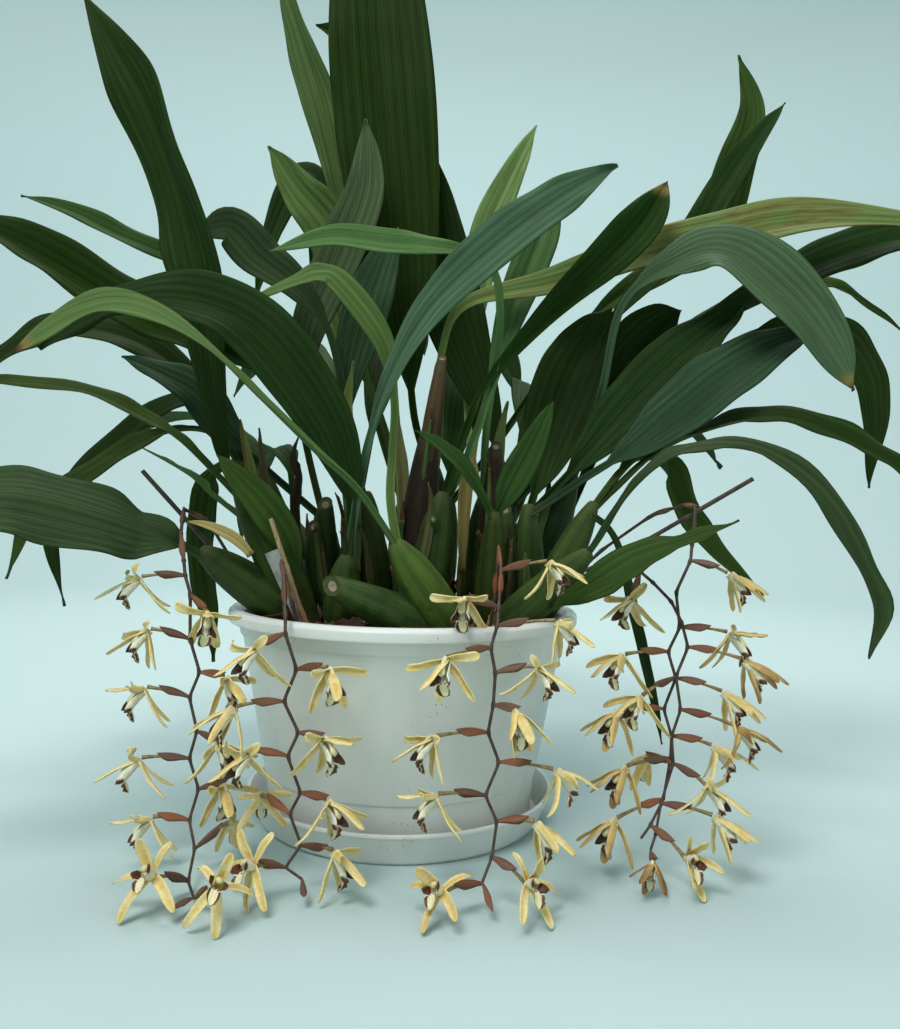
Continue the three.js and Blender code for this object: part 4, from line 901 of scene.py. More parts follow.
def start_ball(segments, rings):
    """A ball, and its vertices' places from foot to top, from 0 to 1, and their angles round it."""
    bpy.ops.object.select_all(action="DESELECT")
    bpy.ops.mesh.primitive_uv_sphere_add(segments=segments, ring_count=rings, radius=1)
    ball = bpy.context.object
    shape = corners(ball)
    share = np.arccos(np.clip(-shape[:, 2], -1, 1)) / math.pi
    return ball, share, np.arctan2(shape[:, 1], shape[:, 0])


def turn_outwards():
    """Makes the faces of the piece at hand look out of it."""
    bpy.ops.object.mode_set(mode="EDIT")
    bpy.ops.mesh.select_all(action="SELECT")
    bpy.ops.mesh.normals_make_consistent(inside=False)
    bpy.ops.object.mode_set(mode="OBJECT")


def grow_leaf(leaf, chance):
    """One leaf: a sheet laid along the leaf's path, folded at its rib, pleated and waved."""
    pleats = leaf.pleats or max(2, round(leaf.width / PLEAT_SPACING))
    length = np.linalg.norm(np.diff(np.array(leaf.points, float), axis=0), axis=1).sum()
    rings = min(MOST_RINGS, int(length / RING_SPACING))
    sheet, across, along = start_sheet(2 * pleats * POINTS_PER_PLEAT, rings)
    centre = follow(leaf.points, along)
    ahead = follow(leaf.points, along + LOOK_AHEAD) - follow(leaf.points, along - LOOK_AHEAD)
    ahead = unit(ahead)
    face = follow(leaf.face, along)
    upper = unit(face - ahead * np.sum(face * ahead, axis=1, keepdims=True))
    side = np.cross(ahead, upper)

    half = blade_width(along, leaf.width, leaf.stalk, leaf.widest) / 2
    open_blade = ramp(along, leaf.stalk, leaf.stalk + BLADE_OPENING)
    fold = STALK_FOLD + (leaf.fold - STALK_FOLD) * open_blade
    rise = half * fold * (1 - (1 - np.abs(across)) ** FOLD_POWER)
    edge = np.abs(across) ** EDGE_POWER
    for hand in (1, -1):
        swing = wavy(along, LONG_WAVES, chance) + 0.6 * wavy(along, SHORT_WAVES, chance)
        rise += leaf.wave * EDGE_WAVE * open_blade * edge * swing * (across * hand > 0)
    fade = open_blade * ramp(along, 1, 1 - TIP_FADE) * np.clip(half / 12, 0.25, 1)
    phase = 2 * math.pi * pleats * across
    rise -= PLEAT_HEIGHT * fade * np.cos(phase)
    bend = leaf.width * SIDEWAYS_DRIFT * wavy(along, DRIFT_WAVES, chance) * open_blade
    reshape(sheet, centre + side * (half * across + bend)[:, None] + upper * rise[:, None])

    mark(sheet, "across", across)
    mark(sheet, "along", along)
    mark(sheet, "phase", phase)
    mark(sheet, "pleated", fade)
    mark(sheet, "dryness", along - leaf.dry)
    mark(sheet, "age", leaf.aged * ramp(along, 0.2, 0.7))
    turn = chance.uniform(0, 90)
    grain = np.stack([across * half * 0.9, along * length * 0.055, np.full(len(along), turn)], 1)
    mark(sheet, "grain", grain, "FLOAT_VECTOR")
    tint(sheet, leaf.colour, 0.12, chance)

    rib = np.exp(-((across * half / RIB_WIDTH) ** 2))
    rib *= 0.2 + 0.8 * np.clip(1 - along * 1.3, 0, 1)
    thickness = (BLADE_THICKNESS + (RIB_THICKNESS - BLADE_THICKNESS) * rib) / RIB_THICKNESS
    group = sheet.vertex_groups.new(name="thickness")
    for index, weight in enumerate(thickness):
        group.add([index], float(weight), "REPLACE")
    apply_modifier(
        sheet, "SOLIDIFY", thickness=RIB_THICKNESS * MM, offset=-1, vertex_group="thickness"
    )
    sheet.vertex_groups.clear()
    mark(sheet, "underside", np.arange(len(sheet.data.vertices)) >= len(across))
    sheet.data.materials.append(leaf_skin)
    bpy.ops.object.shade_smooth()
    return sheet


def lay_round(bulb, share, radius, around):
    """Places round a bulb: how far up its axis, how far out from it, and at what angle."""
    foot = Vector(bulb.foot)
    axis = Vector(bulb.top) - foot
    right = axis.cross(Vector((0, 1, 0.2))).normalized()
    front = axis.normalized().cross(right)
    out = np.outer(radius * np.cos(around), right) + np.outer(radius * np.sin(around), front)
    return np.array(foot) + np.outer(share, axis) + out


def grow_bulb(bulb, chance):
    """One pseudobulb: a ball drawn out along its axis, with ribs that run from foot to top."""
    body, share, around = start_ball(40, 26)
    height, swell = follow(CUT_PROFILE if bulb.cut else BULB_PROFILE, share).T
    ribs = chance.choice(BULB_RIBS)
    twist = chance.uniform(-0.6, 0.6)
    wave = np.cos(ribs * (around + twist * height) + chance.uniform(0, 6))
    fine = np.cos(3 * ribs * around + chance.uniform(0, 6))
    depth = chance.uniform(0.02, 0.055) * np.sin(np.clip(height, 0, 1) * math.pi) ** 0.5
    radius = bulb.radius * swell * (1 + depth * (0.6 * wave + 0.25 * fine) - 0.4 * depth)
    places = lay_round(bulb, height, radius, around)
    axis = Vector(bulb.top) - Vector(bulb.foot)
    if bulb.cut:
        slope = CUT_SLOPE * ramp(height, 0.75, 0.95)
        places -= np.outer(slope * radius * np.sin(around), axis.normalized())
    reshape(body, places)

    mark(body, "along", height)
    mark(body, "crease", wave * np.minimum(swell * 2, 1))
    mark(body, "scar", (share > CUT_FACE) & bulb.cut)
    grain = np.stack([np.cos(around) * 3, np.sin(around) * 3, height * axis.length * 0.05], 1)
    mark(body, "grain", grain, "FLOAT_VECTOR")
    tint(body, bulb.colour or chance.choice(BULB_COLOURS), 0.15, chance)
    body.data.materials.append(bulb_skin)
    turn_outwards()
    bpy.ops.object.shade_smooth()
    return body


def wrap_husk(bulb, chance):
    """What is left of a sheath: a dry papery sheet round a bulb's foot, torn along its top."""
    husk, across, up = start_sheet(26, 10)
    height = chance.uniform(*HUSK_HEIGHTS)
    reach = chance.uniform(*HUSK_REACHES)
    around = chance.uniform(-math.pi, 0) + across * reach
    x, y, _ = bulb.foot
    torn = np.array([noise.noise(Vector((angle * 2.4, x, y))) for angle in around])
    spike = np.array([noise.noise(Vector((angle * 9.5, y, 3.3))) for angle in around])
    share = up * height * (1 + 0.7 * torn + 0.35 * spike)
    knots, radii = zip(*BULB_PROFILE[1:5])
    radius = np.interp(share, knots, radii) * bulb.radius + HUSK_GAP
    radius += HUSK_FLARE * up**3 * (1 + 2 * torn) + 0.35 * np.cos(around * HUSK_FOLDS)
    reshape(husk, lay_round(bulb, share, radius, around))
    grain = np.stack([around * bulb.radius * 1.2, share * 4, np.full(len(up), 3.0)], 1)
    mark(husk, "grain", grain, "FLOAT_VECTOR")
    tint(husk, chance.choice(HUSK_COLOURS), 0.2, chance)
    apply_modifier(husk, "SOLIDIFY", thickness=HUSK_THICKNESS * MM, offset=0)
    husk.data.materials.append(dry_skin)
    bpy.ops.object.shade_smooth()
    return husk


def grow_sheath(bulb, chance):
    """A sheath that stands up beside a bulb, to its neck or past it, green or already brown."""
    foot = Vector(bulb.foot)
    axis = Vector(bulb.top) - foot
    angle = chance.uniform(-math.pi, 0)
    out = Vector((math.cos(angle), math.sin(angle), 0)) * bulb.radius
    reach = chance.uniform(0.6, 1.15)
    knots = ((0.1, 0.75), (0.45, 1.1), (0.8, 1.15), (1.0, chance.uniform(0.9, 2.0)))
    points = [tuple(foot + axis * share * reach + out * swell) for share, swell in knots]
    colour = chance.choice(SHEATH_COLOURS)
    face = (-math.cos(angle), -math.sin(angle), 0.1)
    width = bulb.radius * chance.uniform(0.4, 0.9)
    sheath = Leaf(
        points, width, colour, (face, face), stalk=0, widest=0.35, fold=0.5,
        dry=chance.uniform(0.6, 1), wave=0.5, pleats=2,
    )
    return grow_leaf(sheath, chance)


def fuse(name, pieces):
    """Joins pieces into one, under one name."""
    bpy.ops.object.select_all(action="DESELECT")
    for piece in pieces:
        piece.select_set(True)
    bpy.context.view_layer.objects.active = pieces[0]
    if len(pieces) > 1:
        bpy.ops.object.join()
    pieces[0].name = name
    pieces[0].data.name = name
    return pieces[0]


leaf_skin, place = start_material("pleated green leaf")
grain = place.attribute("grain", PLACE)
across = abs(place.attribute("across"))
along = place.attribute("along")
pleated = place.attribute("pleated")
phase = place.attribute("phase")
under = place.attribute("underside")
crest = 0.5 - 0.5 * phase.cosine()
thread = 0.5 - 0.5 * (phase * 5).cosine()
vein = grain.stretched((2.4, 0.25, 1)).clouds(1, detail=4, roughness=0.65)
mottle = grain.stretched((0.09, 0.5, 1)).clouds(1, detail=4)
stripe = grain.stretched((0.6, 0.012, 1)).clouds(1, detail=4, roughness=0.7)
blot = grain.stretched((0.30, 0.45, 1)).clouds(1, detail=6, roughness=0.75)
age = place.attribute("age") * mottle.over(0.35, 0.6)
# where the painted highlight lies along the pleats' crests
crest_highlight = pleated * stripe.over(0.3, 0.55)
dryness = place.attribute("dryness") + (vein - 0.5) * 0.03 + (mottle - 0.5) * 0.04
colour = place.attribute("tint", COLOUR).shaded(
    (vein.over(0.3, 0.72), 1, (1.3, 1.26, 1.2)),
    (stripe.over(0.52, 0.72), 1, (1.45, 1.40, 1.25)),  # long light stripes
    (stripe.over(0.48, 0.3), 1, (0.65, 0.68, 0.66)),  # and dark ones
    (crest.over(0.86, 1.0) * crest_highlight, 0.45, (1.8, 1.7, 1.4)),  # painted highlight along the pleats' crests
    (crest.over(0.04, 0.0) * pleated, 0.75, (0.45, 0.5, 0.5)),  # and painted shade in their valleys
    (thread.over(0.35, 0.0) * pleated, 0.4, (0.66, 0.70, 0.70)),  # thin veins between them
    (mottle.over(0.42, 0.7), 0.45, (0.70, 0.72, 0.68)),
    (across.over(0.04, 0.0), 0.5, (2.2, 1.9, 1.4)),  # the midrib
    (along.over(0.4, 0.1), 0.4, (0.62, 0.64, 0.6)),  # painted shade, darker towards its foot where the clump crowds it
).painted(
    (along.over(0.12, 0.0), 0.35, (0.090, 0.110, 0.030)),  # the yellower stalk
    (under, 0.35, (0.075, 0.125, 0.050)),
    (age, 0.45, (0.24, 0.21, 0.055)),  # an old leaf turns yellow
    (age * blot.over(0.44, 0.62), 0.8, (0.100, 0.056, 0.022)),  # with brown blots
    (dryness.over(-0.03, 0.0), 0.8, (0.20, 0.16, 0.05)),  # where it dries it is straw first
    (dryness.over(0.0, 0.015), 0.9, (0.090, 0.040, 0.028)),  # and then brown
    (across.over(0.965, 1.0) * mottle.over(0.5, 0.65), 0.35, (0.20, 0.18, 0.07)),  # its edge
)
relief = vein * 0.14 + crest.over(0.1, 0.0) * pleated * -0.12 + thread * pleated * 0.05
finish_material(
    place, Base_Color=colour, Roughness=0.45 + mottle * 0.14 + under * 0.12,
    Specular_IOR_Level=0.04, Normal=relief.bump(0.7),
)

bulb_skin, place = start_material("green bulb skin")
grain = place.attribute("grain", PLACE)
along = place.attribute("along")
crease = place.attribute("crease")
scar = place.attribute("scar")
streak = grain.stretched((3.5, 3.5, 0.5)).clouds(1, detail=4, roughness=0.6)
mottle = place.clouds(90, detail=5, roughness=0.6)
wood = (mottle.over(0.35, 0.65) * 0.7).blend((0.38, 0.33, 0.22), (0.16, 0.11, 0.07))
colour = place.attribute("tint", COLOUR).shaded(
    (streak.over(0.4, 0.75), 0.7, (1.5, 1.4, 1.3)),
    (crease.over(0.6, 1.0), 0.45, (1.5, 1.4, 1.2)),  # painted highlight on the ribs' crests
    (crease.over(-0.3, -1.0), 0.5, (0.5, 0.52, 0.5)),  # and painted shade in the furrows between them
    (mottle.over(0.5, 0.7), 0.6, (0.5, 0.45, 0.4)),
).painted(
    ((along + (mottle - 0.5) * 0.3).over(0.22, 0.0), 0.8, (0.13, 0.075, 0.04)),  # brown foot
    ((along + (mottle - 0.5) * 0.1).over(0.9, 0.99), 0.25, (0.12, 0.12, 0.05)),  # paler neck
    (scar.over(0.35, 0.75), 1, wood),
)
finish_material(
    place, Base_Color=colour, Roughness=0.45 + mottle * 0.2, Specular_IOR_Level=0.12,
    Normal=(streak * 0.6 + mottle * 0.4).bump(0.8),
)

dry_skin, place = start_material("dry papery sheath")
fibre = place.attribute("grain", PLACE).stretched((2.2, 0.35, 1))
fibre = fibre.clouds(1, detail=5, roughness=0.7)
stain = place.clouds(70, detail=3)
colour = place.attribute("tint", COLOUR).shaded(
    (fibre.over(0.3, 0.7), 1, (1.9, 1.8, 1.6)),
    (stain.over(0.5, 0.75), 0.6, (0.45, 0.4, 0.38)),
)
finish_material(
    place, Base_Color=colour, Roughness=0.68, Specular_IOR_Level=0.25,
    Normal=(fibre * 0.6 + stain * 0.3).bump(0.8),
)

for number, (name, shoot) in enumerate(SHOOTS.items()):
    chance = random.Random(FIRST_SHOOT_SEED + number)
    pieces = []
    for bulb in [part for part in shoot if isinstance(part, Bulb)]:
        pieces += [grow_bulb(bulb, chance), wrap_husk(bulb, chance)]
        upright = bulb.top[2] - bulb.foot[2] > UPRIGHT * math.dist(bulb.foot, bulb.top)
        for sheath in range(chance.choice((0, 1, 2)) if upright else 0):
            pieces.append(grow_sheath(bulb, chance))
    leaves = [part for part in shoot if isinstance(part, Leaf)]
    leaves.sort(key=lambda leaf: leaf.points[1][1])
    for rank, leaf in enumerate(leaves):
        x, y, z = leaf.points[0]
        spaced = (x, y + (rank - (len(leaves) - 1) / 2) * BASE_SPACING, z)
        pieces.append(grow_leaf(leaf._replace(points=[spaced] + leaf.points[1:]), chance))
    plant = fuse(name + "_grown", pieces)
    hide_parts(name)
    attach(plant, "root")


# ---- Growing medium ----
# Damp dark bark, broken small, with peat between and a few white crumbs of perlite. It is filled
# in round the bulbs to just under the rim, and thin roots run over it.
SOIL_EDGE = 141
SOIL_CROWN = 144.5
SOIL_RADIUS = 117.3
SOIL_SLOPE = 60  # how far in from its edge the filling still rises
CRUST_LIFT = 0.6
CRUST_SQUARES = 120
BARK_COLOUR = (0.050, 0.028, 0.016)
CHIPS = 420
CHIP_SEED = 11
CRUMBS = 46
CRUMB_SEED = 12
ROOTS = 26
ROOT_SEED = 13
ROOT_STEPS = 6
ROOT_ARCH = 1.2
ROOT_BURIED = 2.5  # how deep its ends go into the filling


def soil_level(reach):
    """How high the filling's surface is at a distance from the pot's axis."""
    rise = ramp(reach, SOIL_RADIUS, SOIL_RADIUS - SOIL_SLOPE)
    return SOIL_EDGE + (SOIL_CROWN - SOIL_EDGE) * rise + CRUST_LIFT


soil = turn_piece(
    "medium_filling",
    [
        (POT_BASE - POT_WALL - 1, POT_BOTTOM + POT_FLOOR + 0.4),
        (POT_STEP - POT_WALL - 1, POT_STEP_HEIGHT),
        (POT_WALL_TOP - POT_WALL - 0.8, POT_COLLAR_HEIGHT),
        (SOIL_RADIUS, SOIL_EDGE),
        (SOIL_RADIUS - 12, SOIL_EDGE + 1.5), (88, SOIL_EDGE + 2.5), (70, SOIL_EDGE + 3),
        (50, SOIL_CROWN), (30, SOIL_CROWN), (12, SOIL_CROWN),
    ],
    rounding=0.4,
)
bpy.ops.object.select_all(action="DESELECT")
bpy.ops.mesh.primitive_grid_add(
    x_subdivisions=CRUST_SQUARES, y_subdivisions=CRUST_SQUARES, size=2
)
crust = bpy.context.object
flat = corners(crust)
reach = np.maximum(np.abs(flat[:, 0]), np.abs(flat[:, 1]))
round_share = np.maximum(np.hypot(flat[:, 0], flat[:, 1]), 1e-9)
ring = reach * (SOIL_RADIUS - 0.4)
x = flat[:, 0] / round_share * ring
y = flat[:, 1] / round_share * ring
lumps = np.array([
    noise.noise(Vector((a, b, 0)) / 9) * 1.8 + noise.noise(Vector((a, b, 7)) / 3.2) * 1.3
    + noise.noise(Vector((a, b, 3)) / 28) * 2.4
    for a, b in zip(x, y)
])
level = soil_level(ring) + lumps * np.clip((1 - reach) * 12, 0.15, 1)
reshape(crust, np.stack([x, y, level], 1))
apply_modifier(crust, "SOLIDIFY", thickness=3 * MM, offset=-1)
bpy.ops.object.shade_smooth()

medium_skin, place = start_material("damp bark and peat")
lump = place.clouds(160, detail=6, roughness=0.7)
patch = place.clouds(38, detail=3)
fleck = place.clouds(520, detail=2).over(0.58, 0.7)
colour = lump.over(0.3, 0.75).blend((0.012, 0.008, 0.006), (0.060, 0.036, 0.022)).painted(
    (patch.over(0.5, 0.7), 0.5, (0.045, 0.024, 0.013)),
    (fleck, 0.4, (0.13, 0.085, 0.05)),
)
finish_material(
    place, Base_Color=colour, Roughness=0.62 + lump * 0.3, Specular_IOR_Level=0.35,
    Normal=(lump * 0.8 + fleck * 0.2).bump(0.8),
)
bark_skin, place = start_material("bark chip")
layer = place.stretched((1, 1, 5)).clouds(240, detail=4, roughness=0.7)
colour = place.attribute("tint", COLOUR).shaded((layer.over(0.3, 0.7), 1, (2.2, 2.0, 1.8)))
finish_material(
    place, Base_Color=colour, Roughness=0.7, Specular_IOR_Level=0.3, Normal=layer.bump(0.8)
)
perlite_skin, place = start_material("white perlite crumb")
pit = place.clouds(900, detail=3)
colour = pit.over(0.35, 0.65).blend((0.34, 0.33, 0.29), (0.66, 0.65, 0.60))
finish_material(place, Base_Color=colour, Roughness=0.85, Normal=pit.bump(0.8))
root_skin, place = start_material("dry root")
fibre = place.clouds(300, detail=3)
colour = fibre.over(0.35, 0.7).blend((0.11, 0.075, 0.045), (0.26, 0.20, 0.13))
finish_material(place, Base_Color=colour, Roughness=0.75, Normal=fibre.bump(0.6))

soil.data.materials.append(medium_skin)
crust.data.materials.append(medium_skin)
filling = fuse("medium_filling", [soil, crust])
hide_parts("growing_medium")
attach(filling, "root")

FEET = [part for shoot in SHOOTS.values() for part in shoot if isinstance(part, Bulb)]


def free_spot(chance, margin):
    """A place on the filling that no bulb's foot covers."""
    while True:
        reach = (SOIL_RADIUS - margin) * math.sqrt(chance.random())
        angle = chance.uniform(0, 2 * math.pi)
        x, y = reach * math.cos(angle), reach * math.sin(angle)
        gaps = [math.hypot(x - bulb.foot[0], y - bulb.foot[1]) - bulb.radius * 0.8 for bulb in FEET]
        if min(gaps) > margin * 0.5:
            return x, y


def scatter(name, model, count, seed, size, margin, sunk, colour=None):
    """Copies a small model over the filling, each turned and sized by chance, and joins them."""
    chance = random.Random(seed)
    copies = []
    for number in range(count):
        piece = model.copy()
        piece.data = model.data.copy()
        bpy.context.collection.objects.link(piece)
        scale = chance.uniform(*size)
        x, y = free_spot(chance, margin)
        turn = Matrix.Rotation(chance.uniform(0, 2 * math.pi), 4, "Z")
        turn @= Matrix.Rotation(chance.gauss(0, 0.45), 4, "X")
        turn @= Matrix.Rotation(chance.gauss(0, 0.45), 4, "Y")
        width, height = chance.uniform(0.5, 0.9), chance.uniform(0.25, 0.5)
        stretch = Matrix.Diagonal((scale, scale * width, scale * height, 1))
        level = soil_level(math.hypot(x, y)) + sunk * scale
        lift = Matrix.Translation(Vector((x, y, level)) * MM)
        piece.data.transform(lift @ turn @ stretch)
        shade = chance.uniform(0.4, 1.5)
        if colour:
            tint(piece, [part * shade for part in colour], 0.15, chance)
        copies.append(piece)
    bpy.data.objects.remove(model)
    return fuse(name, copies)


bpy.ops.object.select_all(action="DESELECT")
bpy.ops.mesh.primitive_cube_add(size=2 * MM)
chip = bpy.context.object
bpy.ops.object.mode_set(mode="EDIT")
bpy.ops.mesh.select_all(action="SELECT")
bpy.ops.mesh.subdivide(number_cuts=3, fractal=0.9, seed=4)
bpy.ops.object.mode_set(mode="OBJECT")
chip.data.materials.append(bark_skin)
chips = scatter(
    "bark_chips", chip, CHIPS, CHIP_SEED, size=(3.0, 7.0), margin=7, sunk=0.12,
    colour=BARK_COLOUR,
)
bpy.ops.object.select_all(action="DESELECT")
chips.select_set(True)
bpy.ops.object.shade_smooth_by_angle(angle=math.radians(30))
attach(chips, "root")

bpy.ops.object.select_all(action="DESELECT")
bpy.ops.mesh.primitive_ico_sphere_add(subdivisions=3, radius=MM)
crumb = bpy.context.object
rough = corners(crumb) / MM
lumpy = [1 + 0.45 * noise.noise(Vector(point) * 1.9) for point in rough]
reshape(crumb, rough * np.array(lumpy)[:, None])
crumb.data.materials.append(perlite_skin)
crumbs = scatter(
    "perlite_crumbs", crumb, CRUMBS, CRUMB_SEED, size=(1.2, 2.6), margin=5, sunk=0.35
)
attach(crumbs, "root")


def draw_rod(name, points, radii, skin, sides):
    """A closed rod along points, whose thickness changes from point to point."""
    bpy.ops.object.select_all(action="DESELECT")
    bpy.ops.curve.primitive_bezier_curve_add()
    rod = bpy.context.object
    rod.data.splines.clear()
    spline = rod.data.splines.new("POLY")
    spline.points.add(len(points) - 1)
    for point, place, radius in zip(spline.points, points, radii):
        point.co = (place[0] * MM, place[1] * MM, place[2] * MM, 1)
        point.radius = radius
    rod.data.bevel_depth = MM
    rod.data.bevel_resolution = max(0, sides // 2 - 2)
    rod.data.use_fill_caps = True
    bpy.ops.object.convert(target="MESH")
    rod = bpy.context.object
    rod.name = name
    bpy.ops.object.mode_set(mode="EDIT")
    bpy.ops.mesh.select_all(action="SELECT")
    bpy.ops.mesh.remove_doubles(threshold=0.0001 * MM)
    bpy.ops.mesh.normals_make_consistent(inside=False)
    bpy.ops.object.mode_set(mode="OBJECT")
    bpy.ops.object.shade_smooth_by_angle(angle=math.radians(50))
    rod.data.materials.append(skin)
    return rod


chance = random.Random(ROOT_SEED)
strands = []
for number in range(ROOTS):
    x, y = free_spot(chance, 22)
    heading = chance.uniform(0, 2 * math.pi)
    knots = []
    for step in range(ROOT_STEPS + 1):
        rise = ROOT_ARCH * math.sin(math.pi * step / ROOT_STEPS) + 0.2
        buried = ROOT_BURIED if step in (0, ROOT_STEPS) else 0
        knots.append((x, y, soil_level(math.hypot(x, y)) + rise - buried))
        heading += chance.gauss(0, 0.45)
        reach = chance.uniform(4, 8)
        x, y = x + reach * math.cos(heading), y + reach * math.sin(heading)
        if math.hypot(x, y) > SOIL_RADIUS - 3:
            x, y = x * 0.9, y * 0.9
    shares = np.linspace(0, 1, 25)
    thick = chance.uniform(0.5, 1.1)
    strands.append(draw_rod("root", follow(knots, shares), thick * (1 - 0.4 * shares), root_skin, 6))
roots = fuse("surface_roots", strands)
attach(roots, "root")


# ---- Racemes ----
# Five thin dark stems come up between the bulbs, bend over the rim and hang, zigzag from joint to
# joint. Low down they bear brown sheaths, and further on folded red-brown bracts, with buff flowers
# that have a cream and brown lip. The two right-hand stems are tangled and stay together.
Raceme = namedtuple("Raceme", "stem sheaths flowers buds")
# A flower springs from a joint and faces its azimuth, in degrees. It leans to a side by degrees,
# and its rise is how much it looks up, or down where it is under 0.
Flower = namedtuple("Flower", "joint x y z azimuth lean size rise", defaults=(1, -0.75))
STEM_RADIUS = 1.05
JOINT_SWELLING = 1.45
SEPAL = (28, 7.0)
PETAL = (27, 5.2)
LOWEST_PETAL = 0.7
DROOP = 0.016
CLOSED_SHARE = 0.8  # how many flowers are closed on a stem that is all dry
FLOWER_STALK_ARCH = 1.5
FLOWER_STALK_END = 1.5  # how far behind the flower's middle its stalk ends
FLOWER_STALK_RADII = [0.75, 0.7, 0.7, 0.75, 0.85, 1.0, 1.15, 1.3, 1.5]
BRACT_LENGTH = 20
BRACT_WIDTH = 8.5
BRACT_THICKNESS = 0.3
BRACT_ARCH = 1.6
BRACT_GAP = 0.8  # how far above the stalk its ridge starts
BRACT_FOLD = 1.15
BRACT_SPREAD = 0.62
BRACT_LIFT = 3
SHEATH_WIDTH = 6.5
BUD_WIDTH = 6
BRACT_COLOUR = (0.140, 0.063, 0.036)
BRACT_OUTLINE = ([0, 0.15, 0.4, 0.62, 0.8, 0.93, 1], [0.32, 0.5, 0.85, 1.0, 0.72, 0.3, 0.03])
LIP_LENGTH = 24
LIP_STATIONS = [0, 0.12, 0.3, 0.46, 0.55, 0.60, 0.645, 0.70, 0.80, 0.90, 0.97, 1.0]
LIP_HALF_WIDTH = [1.8, 4.6, 6.8, 8.5, 9.2, 8.4, 4.4, 4.2, 5.2, 5.2, 3.4, 0.4]
LIP_MOUTH = 4.6
LIP_DROP = 2.6  # how far the lip starts below the flower's middle
LIP_CORNER = 2.4  # how far forward its side lobes reach
LIP_RUFFLE = 0.5
LIP_THICKNESS = 0.45
KEEL_HEIGHT = 1.1
COLUMN_LENGTH = 13
COLUMN_START = 1.9  # how far above the flower's middle it starts
COLUMN_RISE = 3.2
COLUMN_BOW = 4.2
COLUMN_GIRTH = ([0, 0.06, 0.5, 0.75, 0.86, 0.95, 1], [0, 1.3, 1.2, 1.8, 2.1, 1.3, 0])
FIRST_RACEME_SEED = 700

LEFT_RACEME = Raceme(
    stem=[
        (-98, -27, 134), (-118, -30, 178), (-140, -38, 216), (-151, -60, 225), (-145, -84, 208),
        (-140, -92, 191), (-138, -95, 182), (-134, -96, 170), (-133, -98, 141), (-126, -99, 120),
        (-132, -100, 104), (-126, -102, 83), (-130, -104, 66), (-123, -106, 47), (-127, -111, 29),
        (-119, -125, 17), (-115, -150, 8), (-107, -165, 5),
    ],
    sheaths=[2, 3, 4],
    flowers=[
        (6, -166, -98, 180, 215, 10), (7, -120, -106, 159, 285, -10),
        (8, -158, -102, 147, 220, 15), (9, -108, -105, 118, 320, -15),
        (10, -159, -104, 110, 215, 10), (11, -111, -108, 78, 320, -10),
        (12, -160, -108, 66, 205, 15), (13, -108, -106, 50, 300, -20),
        (14, -148, -120, 33, 220, 20), (15, -102, -112, 28, 80, 0, 0.75),
        (16, -128, -172, 14, 250, 30, 0.9, 0.9), (17, -88, -188, 14, 290, -30, 0.9, 0.9),
    ],
    buds=[(17, -112, -186, 9)],
)
CENTRE_LEFT_RACEME = Raceme(
    stem=[
        (-62, -82, 134), (-70, -86, 165), (-77, -88, 192), (-72, -104, 182), (-68, -117, 160),
        (-67, -122, 150), (-59, -124, 128), (-66, -127, 109), (-56, -130, 91), (-62, -132, 77),
        (-53, -135, 56), (-59, -137, 44), (-51, -141, 27), (-59, -147, 16), (-48, -153, 12),
    ],
    sheaths=[1, 2, 3],
    flowers=[
        (5, -83, -130, 141, 230, 10), (6, -38, -135, 131, 300, -10), (7, -94, -134, 106, 220, 10),
        (8, -40, -138, 90, 320, -10), (9, -84, -138, 80, 230, 10), (10, -36, -142, 54, 320, -15),
        (11, -79, -124, 50, 100, 0, 0.85), (12, -30, -152, 28, 325, -20),
        (13, -74, -162, 18, 240, 25, 0.9, 0.5),
    ],
    buds=[(14, -44, -168, 8)],
)
CENTRE_RIGHT_RACEME = Raceme(
    stem=[
        (60, -72, 134), (64, -76, 170), (66, -80, 204), (67, -96, 190), (65, -112, 168),
        (64, -118, 157), (60, -123, 144), (63, -126, 129), (62, -129, 110), (59, -132, 94),
        (66, -135, 77), (58, -138, 58), (65, -142, 44), (62, -150, 26), (56, -160, 15),
    ],
    sheaths=[1, 2, 3],
    flowers=[
        (3, 97, -100, 196, 320, -10), (4, 44, -116, 173, 255, 5), (5, 100, -124, 161, 335, -10),
        (6, 33, -142, 140, 255, 10), (7, 88, -132, 134, 320, -10), (8, 74, -138, 109, 295, 0),
        (9, 27, -138, 92, 205, 10), (10, 99, -142, 75, 350, -10), (11, 29, -146, 60, 205, 15),
        (12, 87, -151, 47, 320, -15), (13, 81, -170, 20, 300, -30, 0.9, 0.5),
        (14, 33, -174, 16, 235, 30, 0.9, 0.8),
    ],
    buds=[(14, 61, -180, 8)],
)
RIGHT_OUTER_RACEME = Raceme(
    stem=[
        (106, 6, 134), (112, 8, 160), (150, 6, 200), (185, -2, 227), (206, -14, 236),
        (211, -30, 235), (205, -50, 222), (199, -66, 208), (196, -74, 198), (185, -80, 177),
        (187, -84, 154), (179, -86, 138), (184, -88, 121), (176, -90, 101), (181, -92, 84),
        (180, -94, 70), (174, -102, 46), (164, -110, 32), (157, -116, 26),
    ],
    sheaths=[3, 4, 6],
    flowers=[
        (8, 219, -84, 190, 320, -10), (10, 217, -92, 152, 325, -10), (11, 149, -92, 136, 215, 10),
        (12, 213, -96, 114, 320, -15), (13, 145, -96, 100, 220, 10), (14, 206, -100, 80, 335, -10),
        (15, 150, -102, 66, 215, 10), (16, 142, -112, 36, 220, 15),
        (17, 181, -130, 20, 290, -30, 0.9, 0.3),
    ],
    buds=[],
)
